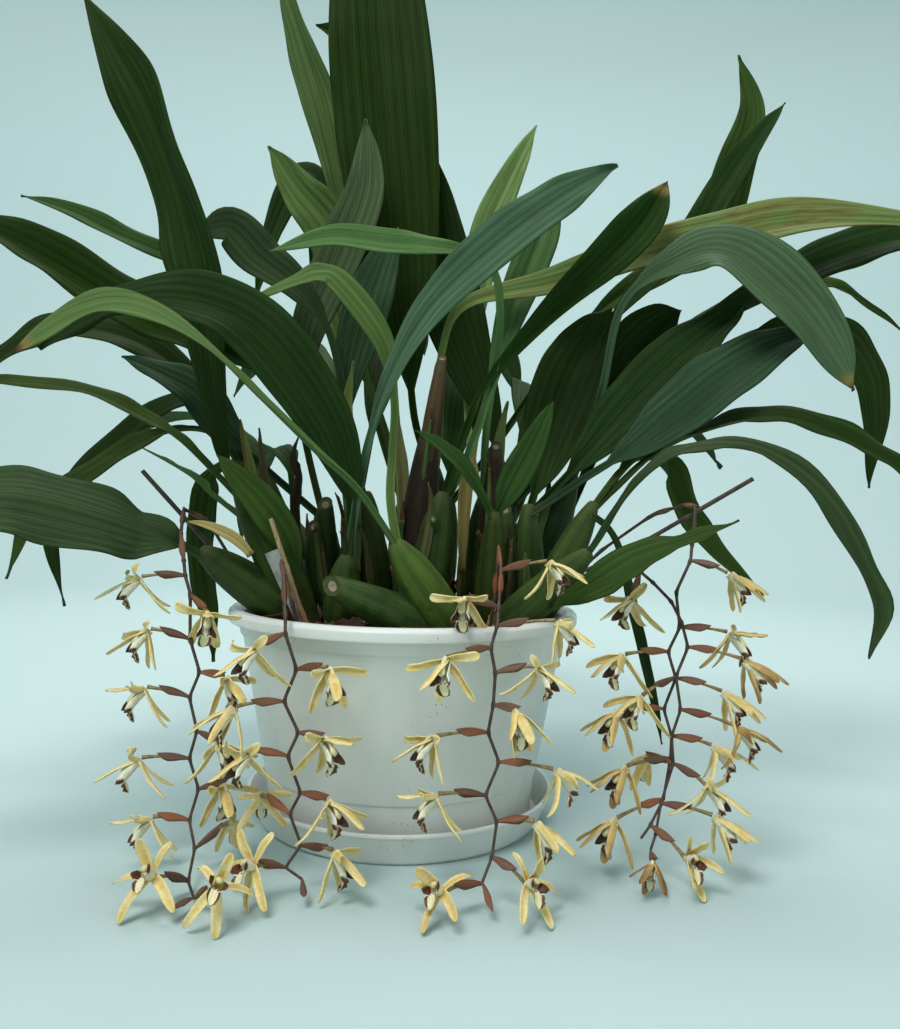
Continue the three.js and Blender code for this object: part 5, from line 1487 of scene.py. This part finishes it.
RIGHT_INNER_RACEME = Raceme(
    stem=[
        (98, -53, 134), (103, -52, 160), (112, -53, 180), (138, -60, 194), (154, -68, 194),
        (162, -73, 190), (170, -77, 183), (181, -84, 171), (187, -88, 158), (191, -90, 142),
        (183, -92, 123), (186, -94, 102), (180, -96, 85), (181, -98, 68), (172, -104, 44),
        (167, -112, 27), (162, -120, 20),
    ],
    sheaths=[2, 3],
    flowers=[
        (5, 155, -82, 172, 220, 14), (9, 224, -100, 136, 335, -10), (10, 158, -104, 112, 220, 10),
        (11, 219, -106, 94, 325, -10), (13, 167, -86, 68, 90, 0, 0.9),
        (13, 199, -112, 58, 320, -10), (14, 201, -120, 42, 335, -15),
        (16, 160, -136, 20, 240, 0, 0.75),
    ],
    buds=[],
)

RACEMES = {  # stems that share a node, and how dry their flowers are
    "raceme_left": ([LEFT_RACEME], 0.1),
    "raceme_centre_left": ([CENTRE_LEFT_RACEME], 0.1),
    "raceme_centre_right": ([CENTRE_RIGHT_RACEME], 0.15),
    "raceme_pair_right": ([RIGHT_OUTER_RACEME, RIGHT_INNER_RACEME], 0.55),
}
STRAP_ACROSS = 6
STRAP_ALONG = 18
STRAP_FOOT = 0.55  # how much of its width a sepal or petal has at its foot
STRAP_SHOULDER = 0.4  # how far along it that widens
STRAP_RUFFLE = 0.3
STRAP_THICKNESS = 0.55


def walk(headings, length):
    """How far forward and sideways each step of a curved line has come, from its headings."""
    ahead = np.concatenate([[0], np.cumsum(np.cos(headings[:-1]))])
    aside = np.concatenate([[0], np.cumsum(np.sin(headings[:-1]))])
    return ahead * length / (len(headings) - 1), aside * length / (len(headings) - 1)


def make_strap(length, width, sweep, curl, cup, twist, sag, chance):
    """A sepal or petal that points along X, with its face to Y: a blunt strap, cupped and bent."""
    bpy.ops.object.select_all(action="DESELECT")
    bpy.ops.mesh.primitive_grid_add(x_subdivisions=STRAP_ALONG, y_subdivisions=STRAP_ACROSS, size=2)
    strap = bpy.context.object
    flat = corners(strap)
    along = 1 - ((1 - flat[:, 0]) / 2) ** 1.4
    across = flat[:, 1]
    steps = np.linspace(0, 1, 60)
    turn = sweep + curl * steps**1.8
    out, forward = walk(turn, length)
    narrowed = STRAP_FOOT + (1 - STRAP_FOOT) * ramp(along, 0, STRAP_SHOULDER) ** 0.7
    half = width / 2 * narrowed * (1.05 - 0.16 * along)
    half *= np.sqrt(np.maximum(1 - along**11, 0.03))
    wave = STRAP_RUFFLE * np.sin(along * chance.uniform(8, 14) + across) * np.abs(across)
    lift = cup * half * across**2 + wave
    roll = twist * along**1.3
    side = half * across * np.cos(roll) - lift * np.sin(roll)
    face = half * across * np.sin(roll) + lift * np.cos(roll)
    slope = np.interp(along, steps, turn)
    x = np.interp(along, steps, out) - face * np.sin(slope)
    y = np.interp(along, steps, forward) + face * np.cos(slope)
    reshape(strap, np.stack([x, y, side + sag * length * along**2], 1))
    mark(strap, "across", across)
    mark(strap, "along", along)
    apply_modifier(strap, "SOLIDIFY", thickness=STRAP_THICKNESS * MM, offset=0)
    strap.data.materials.append(petal_skin)
    bpy.ops.object.shade_smooth()
    return strap


def make_lip(droop, flare):
    """The lip: a trough whose sides stand up round the column, and a lobe that hangs before it."""
    lip, across, along = start_sheet(18, 30)
    half = np.interp(along, LIP_STATIONS, LIP_HALF_WIDTH)
    mouth = LIP_MOUTH + flare
    rolls = [2.3, 2.8, 3.5, 4.0, mouth, mouth, 5.0, 4.6, 4.6, 4.4, 4.0, 4.0]
    roll = np.interp(along, LIP_STATIONS, rolls)
    steps = np.linspace(0, 1, 80)
    heading = -0.12 - droop * ramp(steps, 0.56, 0.78) * 1.15
    heading += 0.7 * ramp(steps, 0.86, 1)
    y, z = (np.interp(along, steps, way) for way in walk(heading, LIP_LENGTH))
    slope = np.interp(along, steps, heading)
    angle = across * half / roll
    side = roll * np.sin(angle)
    lift = roll * (1 - np.cos(angle)) - LIP_DROP
    ruffle = np.sin(np.sign(across) * 1.3 + along * 42) * ramp(along, 0.66, 0.72)
    lift += LIP_RUFFLE * ruffle * np.abs(across) ** 2
    keel = np.exp(-(((np.abs(across * half) - 1.0) / 0.42) ** 2))
    lift += KEEL_HEIGHT * keel * ramp(along, 0.2, 0.3) * ramp(along, 0.93, 0.85)
    corner = ramp(along, 0.38, 0.54) * ramp(along, 0.66, 0.61)
    y += LIP_CORNER * np.abs(across) ** 4 * corner
    reshape(lip, np.stack([side, y - lift * np.sin(slope), z + lift * np.cos(slope)], 1))
    mark(lip, "across", across)
    mark(lip, "along", along)
    apply_modifier(lip, "SOLIDIFY", thickness=LIP_THICKNESS * MM, offset=-1)
    mark(lip, "inside", np.arange(len(lip.data.vertices)) < len(across))
    lip.data.materials.append(lip_skin)
    bpy.ops.object.shade_smooth()
    return lip


def make_column():
    """The column: a cream club that arches forward over the lip, with a cap at its end."""
    column, share, around = start_ball(12, 14)
    girth = np.interp(share, *COLUMN_GIRTH)
    y = COLUMN_LENGTH * share
    z = COLUMN_START + COLUMN_RISE * share - COLUMN_BOW * share**2
    slope = np.arctan2(COLUMN_RISE - 2 * COLUMN_BOW * share, COLUMN_LENGTH)
    side, lift = girth * 1.25 * np.cos(around), girth * np.sin(around)
    reshape(column, np.stack([side, y - lift * np.sin(slope), z + lift * np.cos(slope)], 1))
    mark(column, "along", share)
    column.data.materials.append(column_skin)
    turn_outwards()
    bpy.ops.object.shade_smooth()
    return column


def make_flower(seed, opening, recurve, droop):
    """One flower that faces Y with its top to +Z, before it is turned and set on its stem."""
    chance = random.Random(seed)
    close = 1 - opening
    rays = [  # angle from the right-hand side, length and width, sweep, curl, cup, twist and sag
        (90, *SEPAL, 0.75 + 0.2 * close, 0.25 - 0.3 * recurve, 0.4, 0.1, 0),
        (150, *PETAL, 0.35 + 0.5 * close, -1.1 * recurve, 0.4, 0.5, -0.04),
        (30, *PETAL, 0.35 + 0.5 * close, -1.1 * recurve, 0.4, -0.5, 0.04),
        (236, *SEPAL, 0.2 + 0.65 * close, -0.4 * recurve, 0.4, 0.3, 0.05),
        (304, *SEPAL, 0.2 + 0.65 * close, -0.4 * recurve, 0.4, -0.3, -0.05),
    ]
    parts = []
    for angle, length, width, sweep, curl, cup, twist, sag in rays:
        strap = make_strap(
            length * chance.uniform(0.93, 1.0), width, sweep + chance.gauss(0, 0.16),
            curl + chance.gauss(0, 0.35), cup, twist + chance.gauss(0, 0.2),
            sag + chance.gauss(0, 0.05), chance,
        )
        aim = math.radians(angle + chance.gauss(0, 7))
        strap.data.transform(Matrix.Rotation(-aim, 4, "Y"))
        parts.append(strap)
    parts += [make_lip(droop, 1.5 * opening), make_column()]
    return fuse("flower_model", parts)


def make_bract(start, end, width, chance):
    """A dry bract folded round a flower's stalk, from the stem to its pointed end."""
    bract, across, along = start_sheet(6, 14)
    start, end = np.array(start, float), np.array(end, float)
    axis = end - start
    length = np.linalg.norm(axis)
    ahead = axis / length
    upper = np.array([chance.gauss(0, 0.35), chance.gauss(0, 0.35), 1.0])
    upper -= ahead * upper.dot(ahead)
    upper /= np.linalg.norm(upper)
    side = np.cross(upper, ahead)
    half = width / 2 * np.interp(along, *BRACT_OUTLINE)
    arch = BRACT_ARCH * np.sin(along * math.pi) + BRACT_GAP
    height = arch - np.abs(across) * half * BRACT_FOLD
    places = start + np.outer(along * length, ahead) + np.outer(across * half * BRACT_SPREAD, side)
    reshape(bract, places + np.outer(height, upper))
    mark(bract, "along", along)
    grain = np.stack([across * 3, along * 1.2, np.full(len(along), chance.uniform(0, 50))], 1)
    mark(bract, "grain", grain, "FLOAT_VECTOR")
    tint(bract, BRACT_COLOUR, 0.22, chance)
    apply_modifier(bract, "SOLIDIFY", thickness=BRACT_THICKNESS * MM, offset=0)
    bract.data.materials.append(bract_skin)
    bpy.ops.object.shade_smooth()
    return bract


petal_skin, place = start_material("buff petal")
along = place.attribute("along")
side = abs(place.attribute("across"))
age = place.attribute("age")
vein = place.clouds(700, detail=3, roughness=0.6)
soft = place.clouds(110, detail=2)
aged = (age + (soft - 0.5) * 0.6 + along * 0.25).over(0.55, 1.1)
withered = (age + along * 0.55 + (soft - 0.5) * 0.5).over(1.15, 1.4)
colour = side.over(0.2, 1.0).blend((0.72, 0.500, 0.150), (0.90, 0.73, 0.30)).painted(
    (side.over(0.16, 0.0), 0.35, (0.48, 0.29, 0.08)),  # along its middle
    (along.over(0.22, 0.0), 0.6, (0.68, 0.60, 0.27)),  # its greener foot
    (soft.over(0.35, 0.65), 0.5, (0.92, 0.82, 0.48)),
    (vein.over(0.4, 0.7), 0.25, (0.45, 0.28, 0.08)),
    (aged, 0.7, (0.46, 0.25, 0.06)),
    (withered, 0.7, (0.20, 0.09, 0.03)),
)
finish_material(
    place, Base_Color=colour, Roughness=0.5, Specular_IOR_Level=0.35,
    Subsurface_Weight=0.15, Subsurface_Radius=(1.0, 0.6, 0.25), Subsurface_Scale=1.2 * MM,
    Normal=vein.bump(0.6),
)

lip_skin, place = start_material("cream and brown lip")
blot = place.clouds(420, detail=3, roughness=0.6)
along = place.attribute("along") + (blot - 0.5) * 0.07
side = abs(place.attribute("across")) + (blot - 0.5) * 0.14
inside = place.attribute("inside")
throat = inside * side.over(0.22, 0.36) * along.over(0.30, 0.38) * along.over(0.64, 0.62)
front = side.over(0.45, 0.60) * along.over(0.525, 0.57) * along.over(0.655, 0.635)
lobe = side.over(0.46, 0.60) * along.over(0.68, 0.72)
keel = inside * side.over(0.16, 0.22) * side.over(0.44, 0.36)
keel = keel * along.over(0.42, 0.48) * along.over(0.72, 0.68)
brown = throat.largest(front).largest(lobe.largest(keel * 0.8))
cream = blot.over(0.3, 0.7).blend((0.70, 0.66, 0.47), (0.84, 0.81, 0.66)).painted(
    (along.over(0.3, 0.0), 0.5, (0.62, 0.55, 0.26)),
    (along.over(0.66, 0.74) * inside, 0.6, (0.82, 0.74, 0.36)),
)
dark = blot.over(0.3, 0.75).blend((0.060, 0.018, 0.010), (0.150, 0.055, 0.022))
colour = brown.blend(cream, dark).painted(
    (side.over(0.93, 0.99) * along.over(0.66, 0.70), 0.7, (0.70, 0.60, 0.34)),  # the lobe's edge
)
finish_material(
    place, Base_Color=colour, Roughness=0.45, Specular_IOR_Level=0.4,
    Subsurface_Weight=0.12, Subsurface_Radius=(1.0, 0.7, 0.4), Subsurface_Scale=1.2 * MM,
    Normal=blot.bump(0.6),
)

column_skin, place = start_material("cream column")
soft = place.clouds(300, detail=2)
cap = place.attribute("along").over(0.84, 0.95)
colour = soft.over(0.3, 0.7).blend((0.62, 0.55, 0.27), (0.78, 0.72, 0.46)).painted(
    (cap, 0.5, (0.80, 0.70, 0.33)),
)
finish_material(place, Base_Color=colour, Roughness=0.4, Normal=soft.bump(0.5))

stem_skin, place = start_material("dark wiry stem")
ring = place.clouds(260, detail=4, roughness=0.6)
colour = ring.over(0.3, 0.7).blend((0.030, 0.016, 0.010), (0.085, 0.045, 0.025))
finish_material(place, Base_Color=colour, Roughness=0.5, Normal=ring.bump(0.6))

pedicel_skin, place = start_material("olive flower stalk")
ring = place.clouds(320, detail=3)
colour = ring.over(0.3, 0.7).blend((0.16, 0.10, 0.03), (0.33, 0.23, 0.08))
finish_material(place, Base_Color=colour, Roughness=0.5, Normal=ring.bump(0.6))

bract_skin, place = start_material("red-brown papery bract")
fibre = place.attribute("grain", PLACE).stretched((2.2, 0.6, 1))
fibre = fibre.clouds(1, detail=4, roughness=0.65)
point = place.attribute("along").over(0.75, 1.0)
colour = place.attribute("tint", COLOUR).shaded((fibre.over(0.3, 0.7), 1, (1.7, 1.6, 1.5)))
colour = colour.painted((point, 0.5, (0.20, 0.105, 0.06)))
finish_material(
    place, Base_Color=colour, Roughness=0.55, Specular_IOR_Level=0.3, Normal=fibre.bump(0.7)
)

# Seed, how wide it opens, how far its petals curl back, and how far its lip hangs.
OPEN_FLOWERS = [
    make_flower(21, 0.9, 0.9, 1.0),
    make_flower(22, 0.6, 0.5, 0.9),
    make_flower(23, 1.0, 1.2, 1.1),
    make_flower(25, 0.7, 0.8, 1.0),
]
CLOSED_FLOWER = make_flower(24, 0.3, 0.1, 0.8)


def stem_route(stem):
    """The stem's own line: straight from joint to joint, with each bend a little rounded."""
    joints = [Vector(joint) for joint in stem]
    route = [joints[0]]
    for before, joint, after in zip(joints, joints[1:], joints[2:]):
        route.append(joint.lerp(before, 0.16))
        route.append(joint.lerp((before + after) / 2, 0.05))
        route.append(joint.lerp(after, 0.16))
    return route + [joints[-1]]


def set_flower(stem, flower, dryness, chance):
    """Copies one of the flowers to its place, with its stalk and its bract."""
    azimuth = math.radians(flower.azimuth)
    front = Vector((math.cos(azimuth), math.sin(azimuth), flower.rise)).normalized()
    dorsal = Vector((0, 0, 1))
    dorsal.rotate(Matrix.Rotation(math.radians(flower.lean), 3, front))
    right = dorsal.cross(front).normalized()
    dorsal = front.cross(right)
    closed = chance.random() < dryness * CLOSED_SHARE
    model = CLOSED_FLOWER if closed else chance.choice(OPEN_FLOWERS)
    bloom = model.copy()
    bloom.data = model.data.copy()
    bpy.context.collection.objects.link(bloom)
    scale = flower.size * chance.uniform(0.93, 1.0)
    turn = Matrix((right, front, dorsal)).transposed().to_4x4() @ Matrix.Scale(scale, 4)
    bloom.data.transform(turn)
    spread = corners(bloom) / MM
    spread[:, 2] -= DROOP * (spread[:, 0] ** 2 + spread[:, 1] ** 2)
    reshape(bloom, spread)
    hub = Vector((flower.x, flower.y, max(flower.z, LOWEST_PETAL - spread[:, 2].min())))
    bloom.data.transform(Matrix.Translation(hub * MM))
    mark(bloom, "age", np.full(len(bloom.data.vertices), dryness + chance.uniform(-0.25, 0.45)))
    root = Vector(stem[flower.joint])
    middle = root.lerp(hub, 0.55) + Vector((0, 0, FLOWER_STALK_ARCH))
    route = follow([root, middle, hub - front * FLOWER_STALK_END], np.linspace(0, 1, 9))
    stalk = draw_rod("stalk", route, FLOWER_STALK_RADII, pedicel_skin, 6)
    tip = root + (hub - root).normalized() * BRACT_LENGTH + Vector((0, 0, BRACT_LIFT))
    return [bloom, stalk], make_bract(root, tip, BRACT_WIDTH, chance)


for number, (node, (sprays, dryness)) in enumerate(RACEMES.items()):
    chance = random.Random(FIRST_RACEME_SEED + number)
    stems, blooms = [], []
    for spray in sprays:
        route = stem_route(spray.stem)
        radii = STEM_RADIUS * (1.15 - 0.35 * np.arange(len(route)) / len(route))
        radii[2:-1:3] *= JOINT_SWELLING
        stems.append(draw_rod("stem", route, radii, stem_skin, 10))
        for joint in spray.sheaths:
            start, end = Vector(spray.stem[joint]), Vector(spray.stem[joint + 1])
            ahead = (end - start).normalized()
            foot, point = start - ahead * 2, start + ahead * BRACT_LENGTH
            stems.append(make_bract(foot, point, SHEATH_WIDTH, chance))
        for row in spray.flowers:
            parts, bract = set_flower(spray.stem, Flower(*row), dryness, chance)
            blooms += parts
            stems.append(bract)
        for joint, *point in spray.buds:
            stems.append(make_bract(spray.stem[joint], point, BUD_WIDTH, chance))
    stem = fuse(node + "_stem", stems)
    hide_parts(node)
    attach(stem, "root")
    bloom = fuse(node + "_flowers", blooms)
    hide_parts(node)
    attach(bloom, "root")
for model in OPEN_FLOWERS + [CLOSED_FLOWER]:
    bpy.data.objects.remove(model)


# ---- Old flower stalk ----
# The dry woody stalk of last year's spray, still standing by the left-hand bulbs. It is ringed at
# two old joints, and its foot is in the growing medium.
OLD_STALK = [(-52, -80, 134), (-64, -80, 157), (-75, -81, 188), (-86, -82, 220)]

STALK_RADIUS = 2.0
STALK_JOINTS = (8, 16)
JOINT_RING = 1.18

straw_skin, place = start_material("dry woody stalk")
fibre = place.stretched((1, 1, 0.08)).clouds(900, detail=4, roughness=0.65)
low = place.height().over(0.19, 0.15)
colour = fibre.over(0.3, 0.7).blend((0.20, 0.13, 0.055), (0.42, 0.32, 0.15)).painted(
    (low, 0.7, (0.20, 0.070, 0.035)),
)
finish_material(place, Base_Color=colour, Roughness=0.6, Normal=fibre.bump(0.7))
shares = np.linspace(0, 1, 25)
radii = STALK_RADIUS - 0.4 * shares
radii[list(STALK_JOINTS)] *= JOINT_RING
stalk = draw_rod("old_stalk_dry", follow(OLD_STALK, shares), radii, straw_skin, 12)
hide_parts("old_flower_stalk")
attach(stalk, "root")


# ---- Plant label ----
# A blank strip cut from plastic sheet that has weathered to grey. Its foot is narrowed, and it is
# pushed slanting into the growing medium.
LABEL_SIZE = (11, 1.2, 96)
LABEL_TOP = (-86.5, -73, 198)
LABEL_LEAN = math.atan2(18, 42)
LABEL_FOOT = 0.3  # how much of its width is left at its foot
LABEL_ROUNDING = 0.5

bpy.ops.object.select_all(action="DESELECT")
bpy.ops.mesh.primitive_cube_add(size=1)
label = bpy.context.object
label.name = "label_blank"
width, thickness, length = LABEL_SIZE
shape = corners(label)
foot = shape[:, 2] < 0
places = shape * np.array([width, thickness, length]) - np.array([0, 0, length / 2])
places[foot, 0] *= LABEL_FOOT
reshape(label, places)
label.data.transform(Matrix.Rotation(-LABEL_LEAN, 4, "Y"))
label.data.transform(Matrix.Translation(Vector(LABEL_TOP) * MM))
apply_modifier(label, "BEVEL", width=LABEL_ROUNDING * MM, segments=3, angle_limit=math.radians(30))
bpy.ops.object.shade_smooth_by_angle(angle=math.radians(40))
label_skin, place = start_material("weathered label plastic")
grime = place.clouds(60, detail=4, roughness=0.6)
colour = grime.over(0.35, 0.65).blend((0.30, 0.31, 0.29), (0.16, 0.155, 0.13))
finish_material(place, Base_Color=colour, Roughness=0.55, Normal=grime.bump(0.5))
label.data.materials.append(label_skin)
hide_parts("plant_label")
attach(label, "root")


# ---- Support sticks ----
# Two thin dark-stained wooden rods, cut off square, that keep the clump from leaning. Their feet
# are pushed into the growing medium.
STICKS = {
    "support_stick_left": ((-84, -14, 132), (-192, -28, 252)),
    "support_stick_right": ((72, 16.5, 138), (251, -35, 256)),
}
STICK_RADIUS = 1.7
STICK_STEPS = 12

stick_skin, place = start_material("dark stick")
grain = place.stretched((1, 1, 0.3)).clouds(240, detail=4, roughness=0.65)
colour = grain.over(0.3, 0.7).blend((0.018, 0.011, 0.008), (0.075, 0.045, 0.028))
finish_material(place, Base_Color=colour, Roughness=0.6, Normal=grain.bump(0.7))
for name, (foot, top) in STICKS.items():
    steps = range(STICK_STEPS + 1)
    route = [Vector(foot).lerp(Vector(top), step / STICK_STEPS) for step in steps]
    radii = [STICK_RADIUS * (1.03 if step % 4 == 2 else 0.98) for step in steps]
    stick = draw_rod(name + "_rod", route, radii, stick_skin, 14)
    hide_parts(name)
    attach(stick, "root")
